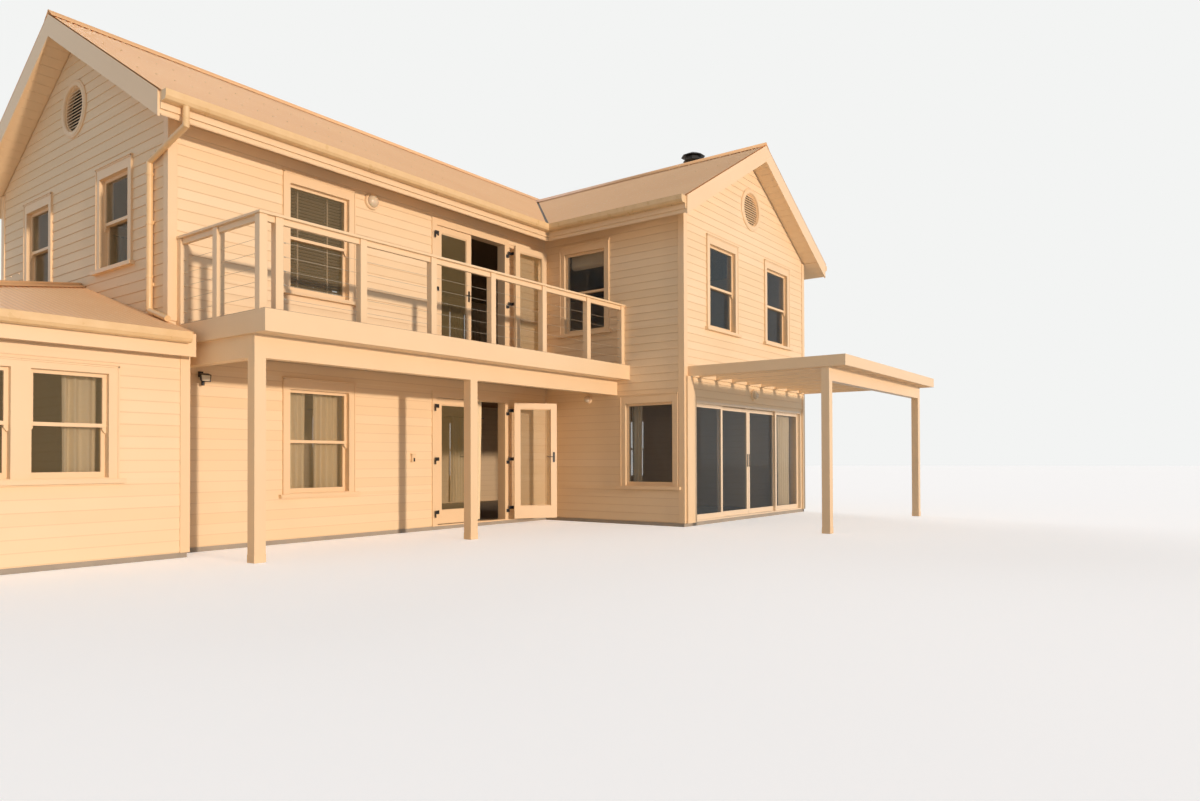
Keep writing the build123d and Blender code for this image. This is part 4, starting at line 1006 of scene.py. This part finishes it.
# Roman blind of the upper side window: the curtains' cotton, drawn up in four folds under a
# painted head batten that is screwed to the window's head
roman = bmesh.new()
roman_width, roman_head = 0.88, 4.90
roman_line = [
    (-0.176, roman_head), (-0.176, 4.70), (-0.182, 4.665), (-0.192, 4.700), (-0.202, 4.655),
    (-0.212, 4.695), (-0.222, 4.645), (-0.232, 4.690), (-0.242, 4.635),
]
roman_rows = [
    [roman.verts.new(faces["cross_side"](a, d, z)) for d, z in roman_line] for a in (-1.37, -0.93, -0.49)
]
for step in range(len(roman_line) - 1):
    for here, there in zip(roman_rows, roman_rows[1:]):
        roman.faces.new((here[step], here[step + 1], there[step + 1], there[step]))
    (d0, z0), (d1, z1) = roman_line[step], roman_line[step + 1]
roman_piece = make_piece("roman_blind", roman, curtain_cloth)
batten = bmesh.new()
for a0, a1 in ((-1.38, -0.93), (-0.93, -0.48)):
    add_plate(batten, "cross_side", rectangle(a0, a1, roman_head, roman_head + 0.03), -0.20, lining_face)
make_piece("roman_blind_batten", batten, trim_paint, bevel=0.002)

# Venetian blind of the upper front window: 50 mm basswood slats on two ladder tapes, under a
# head box.
# Lacquered basswood: pale, with the grain drawn out along the slats and a low shine
slat_timber, tree, place, shader = new_material("lacquered_basswood_slats")
long = add(tree, "Mapping", {"Vector": place, "Scale": (3.0, 60.0, 60.0)})
grain = add(tree, "TexNoise", {"Vector": long, "Scale": 4.0, "Detail": 4.0})
tone = add(tree, "Mix", {0: grain, 6: "#B59F80", 7: "#CDB797"}, data_type="RGBA")
fill(tree, shader, {"Base Color": tone, "Roughness": 0.4})
slats = bmesh.new()
slat_count, slat_pitch, lowest_slat = 31, 0.046, 3.455
slat_half, slat_crown, slat_thickness = 0.025, 0.002, 0.003
slat_fall = math.radians(14)
slat_depth = -0.195
slat_left, slat_right = 1.61, 2.55
tip = slat_half * math.sin(slat_fall)
reach = slat_half * math.cos(slat_fall)
for step in range(slat_count):
    z = lowest_slat + step * slat_pitch
    line = [(slat_depth + reach, z + tip), (slat_depth, z + slat_crown), (slat_depth - reach, z - tip)]
    for (d0, z0), (d1, z1) in zip(line, line[1:]):
        plan = [(slat_left, d0, z0), (slat_right, d0, z0), (slat_right, d1, z1), (slat_left, d1, z1)]
        add_prism(slats, *[
            [faces["front"](a, d, h + up) for a, d, h in plan] for up in (0.0, slat_thickness)
        ])
add_plate(slats, "front", rectangle(1.60, 2.56, 4.87, 4.92), -0.225, -0.165)
for middle in (1.84, 2.32):
    for d in (-0.168, -0.222):
        add_plate(slats, "front", rectangle(middle - 0.012, middle + 0.012, 3.44, 4.90), d, d + 0.001)
make_piece("venetian_blind", slats, slat_timber)

# French doors: painted timber leaves hung on black hinges, each with one long pane held by
# bevelled beads; the leaves and their ironwork keep the shapes that came with them.
# Powder-coated iron: nearly black, half matt, with a grain too fine to see as more than sheen
dress(trim_paint, "french_door_frame", "french_door_left", "french_door_right", "upper_french_doors")
black_iron, tree, place, shader = new_material("black_powder_coated_iron")
grains = add(tree, "TexNoise", {"Vector": place, "Scale": 500.0})
relief = add(tree, "Bump", {"Height": grains, "Strength": 0.2, "Distance": 0.0005})
fill(tree, shader, {"Base Color": "#171614", "Normal": relief, "Roughness": 0.42})
dress(
    black_iron, "french_door_hinges", "french_door_left_ironwork", "french_door_right_ironwork",
    "upper_door_ironwork",
)


def add_beads(bm, corners, out, width=0.012, depth=0.008, toe=0.002):
    """Four bevelled beads round a pane: corners go round it, out is the way off the glass."""
    middle = sum(corners, Vector()) / 4
    for step in range(4):
        start, end = corners[step], corners[(step + 1) % 4]
        inner_start = start + (middle - start).normalized() * width * 1.4
        inner_end = end + (middle - end).normalized() * width * 1.4
        seat = (start, end, inner_end, inner_start)
        low = [bm.verts.new(point) for point in seat]
        high = [bm.verts.new(point + out * rise) for point, rise in zip(seat, (depth, depth, toe, toe))]
        bm.faces.new(high)
        for spot in range(4):
            after = (spot + 1) % 4
            bm.faces.new((low[spot], low[after], high[after], high[spot]))


leaf_gap, leaf_width, leaf_stile = 0.006, 0.785, 0.11
leaf_foot, leaf_bottom_rail = 0.032, 0.21
leaf_head, leaf_top_rail = 0.005, 0.10
hinge_reach, hinge_y = 0.855, -0.06
pane_faces = ((0.019, -1), (0.025, 1))
for name, side, angle, body, bottom, top in (
    ("left_leaf_beads", -1, 0.0, "door_leaf_left", 0.06, 2.13),
    ("right_leaf_beads", 1, 147.0, "door_leaf_right", 0.06, 2.13),
    ("upper_left_beads", -1, 0.0, "house", 2.76, 4.92),
    ("upper_right_beads", 1, 176.0, "house", 2.76, 4.92),
):
    beads = bmesh.new()
    edges = (leaf_gap + leaf_stile, leaf_width - leaf_stile)
    x0, x1 = sorted(door_middle + side * edge for edge in edges)
    z0, z1 = bottom + (leaf_foot + leaf_bottom_rail), top - leaf_head - leaf_top_rail
    hinge = in_row(door_middle + side * hinge_reach, hinge_y, 0.0)
    swing = Matrix.Translation(hinge) @ Matrix.Rotation(math.radians(side * angle), 4, "Z")
    swing = swing @ Matrix.Translation(-hinge)
    for y, out in pane_faces:
        pane = [swing @ in_row(x, y, z) for x, z in rectangle(x0, x1, z0, z1)]
        add_beads(beads, pane, swing.to_3x3() @ Vector((0, out, 0)))
    make_piece(name, beads, trim_paint, body=body)

# Sliding doors: aluminium panels in two tracks; the two middle ones run, and each has an
# upright pull on two stand-offs.
# Powder-coated aluminium: smooth pale cream with a faint orange-peel skin
coated_aluminium, tree, place, shader = new_material("cream_powder_coated_aluminium")
orange_peel = add(tree, "TexNoise", {"Vector": place, "Scale": 250.0, "Detail": 2.0})
soft = add(tree, "TexNoise", {"Vector": place, "Scale": 2.0})
tone = add(tree, "Mix", {0: soft, 6: "#F0DABA", 7: "#F5E2C6"}, data_type="RGBA")
relief = add(tree, "Bump", {"Height": orange_peel, "Strength": 0.1, "Distance": 0.0005})
fill(tree, shader, {"Base Color": tone, "Normal": relief, "Roughness": 0.32})
dress(coated_aluminium, "sliding_door_frame", "sliding_door_fixed", "sliding_door_left", "sliding_door_right")
pull_back, pull_front, panel_face = -0.123, -0.117, -0.109
for name, x, body in (
    ("left_panel_pull", 9.520, "sliding_leaf_left"),
    ("right_panel_pull", 9.590, "sliding_leaf_right"),
):
    pull = bmesh.new()
    face = faces["cross_front"]
    add_plate(pull, "cross_front", rectangle(x - 0.012, x + 0.012, 0.98, 1.22), pull_back, pull_front)
    for z in (1.0, 1.2):
        add_rod(pull, face(x, pull_front, z), face(x, panel_face, z), 0.005, sides=8)
    make_piece(name, pull, black_iron, body=body, bevel=0.002)

# Balcony: painted beams, posts and edge boards; decking planks lie on top, and lining boards
# hang under it on battens.
# Decking: weathered hardwood, grey-brown and matt, with its grain raised along each plank
dress(trim_paint, "balcony_beams", "balcony_posts", "balcony_deck")
deck_timber, tree, place, shader = new_material("weathered_decking_timber")
long = add(tree, "Mapping", {"Vector": place, "Scale": (1.5, 30.0, 30.0)})
grain = add(tree, "TexNoise", {"Vector": long, "Scale": 5.0, "Detail": 6.0})
each = add(tree, "NewGeometry").outputs["Random Per Island"]
tone = add(tree, "Mix", {0: grain, 6: "#8D7258", 7: "#B39A7C"}, data_type="RGBA")
varied = add(tree, "Mix", {0: each, 6: tone, 7: "#A48B6E"}, data_type="RGBA")
relief = add(tree, "Bump", {"Height": grain, "Strength": 0.4, "Distance": 0.002})
fill(tree, shader, {"Base Color": varied, "Normal": relief, "Roughness": 0.75})
planks = bmesh.new()
plank_pitch, plank_joint = 0.095, 0.006
for step in range(20):
    y = -1.905 + step * plank_pitch
    add_block(planks, 0.095, 6.930, y, y + plank_pitch - plank_joint, 2.7515, 2.7595)
make_piece("balcony_decking", planks, deck_timber)
lining = bmesh.new()
lining_front = -1.508
lining_pitch, batten_pitch, batten_width = 0.0985, 0.655, 0.045
for step in range(15):
    y = lining_front + step * lining_pitch
    add_block(lining, 0.270, 6.925, y, y + 0.0945, 2.452, 2.464)
for step in range(11):
    x = 0.30 + step * batten_pitch
    add_block(lining, x, x + batten_width, lining_front, -0.03, 2.464, 2.5072)
make_piece("balcony_lining_boards", lining, trim_paint)

# Balcony railing: square posts notched over the deck's edge, a rail on edge housed between
# them and a flat cap screwed on top; five wires are drawn through the posts
railing = bmesh.new()
rail_side = 0.095
rail_face = -1.81
rail_foot = 2.752
rail_cap_z = (3.79, 3.82)
rail_board_z = (3.722, 3.79)
side_post_ys = (-0.932, -0.108)
post_middles = [0.1355, 0.3285] + [1.449 + 1.12 * step for step in range(5)] + [cross_left - rail_side / 2]
for middle in post_middles:
    x0, x1 = middle - rail_side / 2, middle + rail_side / 2
    add_block(railing, x0, x1, rail_face, rail_face + rail_side, rail_foot, rail_cap_z[0])
for here, there in zip(post_middles, post_middles[1:]):
    x0, x1 = here + rail_side / 2, there - rail_side / 2
    add_block(railing, x0, x1, rail_face + 0.02, rail_face + 0.065, *rail_board_z)
add_block(railing, 0.075, cross_left, rail_face - 0.02, rail_face + rail_side + 0.012, *rail_cap_z)
for y0 in side_post_ys:
    add_block(railing, 0.088, 0.183, y0, y0 + rail_side, rail_foot, rail_cap_z[0])
for y0, y1 in ((rail_face + rail_side, side_post_ys[0]), (-0.837, side_post_ys[1])):
    add_block(railing, 0.108, 0.153, y0, y1, *rail_board_z)
add_block(railing, 0.075, 0.195, rail_face + rail_side + 0.012, 0.0, *rail_cap_z)
railing_piece = make_piece("railing_posts_and_cap", railing, trim_paint, bevel=0.003)
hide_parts("balcony_railing")

# Stainless wire rope: a dull warm-grey shine, broken by the lay of its strands
wire_steel, tree, place, shader = new_material("stainless_wire_rope")
strands = add(tree, "TexWave", {"Vector": place, "Scale": 90.0}, bands_direction="DIAGONAL")
relief = add(tree, "Bump", {"Height": strands.outputs["Fac"], "Strength": 0.3, "Distance": 0.001})
fill(tree, shader, {"Base Color": "#CFC3AE", "Metallic": 0.8, "Normal": relief, "Roughness": 0.45})
wires = bmesh.new()
wire_radius, ferrule_radius = 0.0022, 0.007
wire_y, wire_x = -1.7625, 0.1355
for z in (2.909, 3.066, 3.223, 3.380, 3.537):
    for start, end, radius, sides in (
        ((0.37, wire_y), (6.87, wire_y), wire_radius, 6),
        ((wire_x, -1.72), (wire_x, -0.10), wire_radius, 6),
        ((0.37, wire_y), (0.43, wire_y), ferrule_radius, 8),
        ((6.80, wire_y), (6.865, wire_y), ferrule_radius, 8),
        ((wire_x, -1.72), (wire_x, -1.66), ferrule_radius, 8),
        ((wire_x, -0.17), (wire_x, -0.105), ferrule_radius, 8),
    ):
        add_rod(wires, in_row(*start, z), in_row(*end, z), radius, sides)
make_piece("railing_wires", wires, wire_steel)

# Pergola and corner pilaster: painted timber; rafters sit on the beam and hang from joist
# shoes on the wall, and the posts of pergola and balcony stand on steel feet
dress(trim_paint, "pergola_posts", "pergola_frame", "pergola_rafters", "corner_pilaster")
shoes = bmesh.new()
rafter_count, rafter_pitch, first_rafter = 8, 0.60, 7.40
shoe_inside, shoe_outside = 0.0225, 0.0265
foot_proud, foot_height = 0.004, 0.09
for step in range(rafter_count):
    x = first_rafter + step * rafter_pitch
    for y, reach in ((-3.05, -0.06), (-5.665, 0.06)):
        y0, y1 = sorted((y, y + reach))
        add_block(shoes, x - shoe_outside, x - shoe_inside, y0, y1, 2.518, 2.60)
        add_block(shoes, x + shoe_inside, x + shoe_outside, y0, y1, 2.518, 2.60)
        add_block(shoes, x - shoe_outside, x + shoe_outside, y0, y1, 2.5115, 2.5155)
for x0, side, y0, y1 in (
    (7.10, 0.129, -5.434, -5.301),
    (11.745, 0.129, -5.434, -5.301),
    (0.127, 0.140, -1.654, -1.510),
    (3.385, 0.140, -1.654, -1.510),
):
    add_block(shoes, x0 - foot_proud, x0 + side, y0, y1, 0.0, foot_height)
make_piece("joist_shoes_and_post_feet", shoes, trim_paint, bevel=0.001)

# Wall lamps: three round bulkhead lamps with a turned base and an opal glass bowl, and a
# small black flood lamp on a bracket under the balcony.
# Opal glass: milky and smooth, with a little light let into it
opal_glass, tree, place, shader = new_material("opal_glass_bowl")
milk = add(tree, "TexNoise", {"Vector": place, "Scale": 12.0})
tone = add(tree, "Mix", {0: milk, 6: "#D9C7A6", 7: "#E8DAC0"}, data_type="RGBA")
fill(tree, shader, {"Base Color": tone, "Roughness": 0.25, "Subsurface Weight": 0.1})
lamp_bases = bmesh.new()
lamp_bowls = bmesh.new()
bowl_line = [(0.0, 0.108), (0.022, 0.105), (0.040, 0.094), (0.053, 0.076), (0.058, 0.055), (0.058, 0.040)]
base_line = [(0.058, 0.042), (0.060, 0.048), (0.070, 0.048), (0.076, 0.040), (0.080, 0.020), (0.080, 0.0)]
bowl_tip = 0.0001
for wall, middle, height, size in (
    ("front", 2.956, 4.968, 1.55),
    ("cross_front", 9.5145, 2.339, 1.30),
    ("cross_side", -1.02, 2.205, 1.0),
):
    base = [(radius * size, out) for radius, out in base_line]
    bowl = [(radius * size + bowl_tip, out) for radius, out in bowl_line]
    add_turned(lamp_bases, faces[wall], middle, height, base, turns=40)
    add_turned(lamp_bowls, faces[wall], middle, height, bowl, turns=40)
base_piece = make_piece("lamp_bases", lamp_bases, trim_paint, smooth=True)
make_piece("lamp_bowls", lamp_bowls, opal_glass, smooth=True)
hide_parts("wall_lamps")
flood = bmesh.new()
flood_x = 0.38
front = faces["front"]
add_plate(flood, "front", rectangle(0.35, 0.41, 2.15, 2.22), 0.010, 0.031)
add_rod(flood, front(flood_x, 0.03, 2.19), front(flood_x, 0.11, 2.17), 0.010)
head_line = [(0.310, 2.195), (0.450, 2.195), (0.442, 2.105), (0.318, 2.105)]
add_prism(
    flood,
    [front(a + (0.012 if a < flood_x else -0.012), 0.10, z) for a, z in head_line],
    [front(a, 0.150, z - 0.020) for a, z in head_line],
)
add_rod(flood, front(flood_x, 0.075, 2.12), front(flood_x, 0.075, 2.045), 0.020, sides=12)
make_piece("flood_lamp", flood, black_iron, bevel=0.003)
flood_pane = bmesh.new()
pane_line = [(0.324, 2.166), (0.436, 2.166), (0.430, 2.096), (0.330, 2.096)]
add_plate(flood_pane, "front", pane_line, 0.149, 0.152)
make_piece("flood_lamp_pane", flood_pane, opal_glass, bevel=0.001)

# Weatherproof socket by the doors: a small moulded box screwed to the boards, with a lid and
# a black latch, painted over with the trim
box = bmesh.new()
add_plate(box, "front", rectangle(3.70, 3.775, 1.09, 1.215), 0.008, 0.050)
add_plate(box, "front", rectangle(3.695, 3.78, 1.205, 1.222), 0.008, 0.056)
make_piece("wall_socket_box", box, trim_paint, bevel=0.004)
latch = bmesh.new()
add_plate(latch, "front", rectangle(3.725, 3.75, 1.10, 1.155), 0.050, 0.060)
make_piece("wall_socket_latch", latch, black_iron, bevel=0.002)

# Flue: a stainless pipe through the roof with a dressed metal skirt, and a black folded-steel
# cowl on it, whose eight-sided hat stands on a neck over a flared collar
flue_y = -1.55
cowl_x, pipe_middle_x = 9.80, 9.7995
cowl_line = [
    (0.0, 7.398), (0.10, 7.386), (0.245, 7.318), (0.245, 7.308), (0.155, 7.302), (0.150, 7.248),
    (0.205, 7.228), (0.205, 7.218), (0.105, 7.168), (0.096, 7.132), (0.086, 7.132),
]


def join_rows(bm, rows):
    """Faces between rows of vertices that stand round an upright axis."""
    for here, there in zip(rows, rows[1:] + rows[:1]):
        for spot in range(len(here) - 1):
            bm.faces.new((here[spot], here[spot + 1], there[spot + 1], there[spot]))


cowl = bmesh.new()
cowl_rows = []
for step in range(8):
    turn = math.pi / 8 + step * math.pi / 4
    cowl_rows.append([
        cowl.verts.new(in_row(cowl_x + radius * math.cos(turn), flue_y + radius * math.sin(turn), z))
        for radius, z in cowl_line
    ])
join_rows(cowl, cowl_rows)
cowl_piece = make_piece("cowl_hat_and_collar", cowl, black_iron)
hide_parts("flue_cowl")

# Weathered stainless steel: a metal shine that is dulled in stains of smoke and rain
flue_metal, tree, place, shader = new_material("weathered_stainless_flue")
stains = add(tree, "TexNoise", {"Vector": place, "Scale": 9.0, "Detail": 5.0})
tone = add(tree, "Mix", {0: stains, 6: "#A8957A", 7: "#D2C3A8"}, data_type="RGBA")
rough = add(tree, "MapRange", {"Value": stains, "To Min": 0.25, "To Max": 0.55})
fill(tree, shader, {"Base Color": tone, "Metallic": 0.9, "Roughness": rough})
dress(flue_metal, "roof_flue")
skirt_radius = 0.22
skirt_line = [(skirt_radius, 0.024), (0.13, 0.05), (0.088, 0.13), (0.086, 0.16)]
pipe_level = roof_height(pipe_middle_x, flue_y, "cross_right")
skirt = bmesh.new()
skirt_rows = []
for step in range(32):
    turn = 2 * math.pi * step / 32
    row = []
    for radius, up in skirt_line:
        x, y = pipe_middle_x + radius * math.cos(turn), flue_y + radius * math.sin(turn)
        lean = radius / skirt_radius
        level = roof_height(x, y, "cross_right") * lean + pipe_level * (1 - lean)
        row.append(skirt.verts.new(in_row(x, y, level + up)))
    skirt_rows.append(row)
join_rows(skirt, skirt_rows)
make_piece("flue_skirt", skirt, flue_metal, smooth=True)

# The view: a standing photographer's camera off the left front corner, a pale plain floor
# and backdrop, one soft low lamp from the right front, a weak one behind and an even sky
camera_data = bpy.data.cameras.new("camera")
camera = bpy.data.objects.new("camera", camera_data)
bpy.context.scene.collection.objects.link(camera)
bpy.context.scene.camera = camera
camera_data.lens = 24.67
camera_data.sensor_width = 36.0
camera_data.shift_y = 0.042
camera_data.clip_end = 400.0
eye = (-9.24, -10.12, 1.11)
view_right = Vector((0.59601, -0.80297, -0.00319))
view_up = Vector((-0.00728, -0.00937, 0.99993))
view_back = Vector((-0.80294, -0.59594, -0.01143))
turned = Matrix((view_right, view_up, view_back)).transposed().to_4x4()
camera.matrix_world = Matrix.Translation(eye) @ turned

ground = bmesh.new()
floor_radius, floor_z = 140, -0.001
turns = [step * math.pi / 32 for step in range(64)]
rim = [(floor_radius * math.cos(turn), floor_radius * math.sin(turn), floor_z) for turn in turns]
ground.faces.new([ground.verts.new(point) for point in rim])
ground_mesh = bpy.data.meshes.new("studio_floor")
ground.to_mesh(ground_mesh)
ground.free()
studio_floor = bpy.data.objects.new("studio_floor", ground_mesh)
bpy.context.scene.collection.objects.link(studio_floor)
pale_floor, tree, place, shader = new_material("pale_studio_floor")
seen = add(tree, "LightPath").outputs["Is Camera Ray"]
glow = add(tree, "Math", {0: seen, 1: 0.42}, operation="MULTIPLY")
fill(tree, shader, {
    "Base Color": "#EFECE6", "Roughness": 0.9, "Emission Color": "#FBF9F6", "Emission Strength": glow,
})
studio_floor.data.materials.append(pale_floor)

world = bpy.data.worlds.new("studio")
bpy.context.scene.world = world
world.use_nodes = True
tree = world.node_tree
tree.nodes.clear()
rays = add(tree, "LightPath").outputs
glossy = add(tree, "Math", {0: rays["Is Camera Ray"], 1: rays["Is Glossy Ray"]}, operation="MAXIMUM")
seen = add(tree, "Math", {0: glossy, 1: rays["Is Transmission Ray"]}, operation="MAXIMUM")
sky = add(tree, "Background", {"Color": "#EEF3FF", "Strength": 0.42})
backdrop = add(tree, "Background", {"Color": "#F3F4F3", "Strength": 1.0})
both = add(tree, "MixShader", {0: seen, 1: sky, 2: backdrop})
add(tree, "OutputWorld", {"Surface": both})

for name, towards, strength, colour, size in (
    ("low_soft_lamp", (0.055, 1.0, -0.095), 2.25, "#FFE8D4", 2.0),
    ("rear_fill_lamp", (-0.35, -0.80, -0.55), 0.7, "#F6F8FF", 30.0),
):
    lamp_data = bpy.data.lights.new(name, "SUN")
    lamp_data.energy = strength
    lamp_data.color = linear(colour)[:3]
    lamp_data.angle = math.radians(size)
    lamp = bpy.data.objects.new(name, lamp_data)
    lamp.rotation_mode = "QUATERNION"
    lamp.rotation_quaternion = Vector(towards).to_track_quat("-Z", "Y")
    bpy.context.scene.collection.objects.link(lamp)

bpy.context.scene.view_settings.view_transform = "Standard"
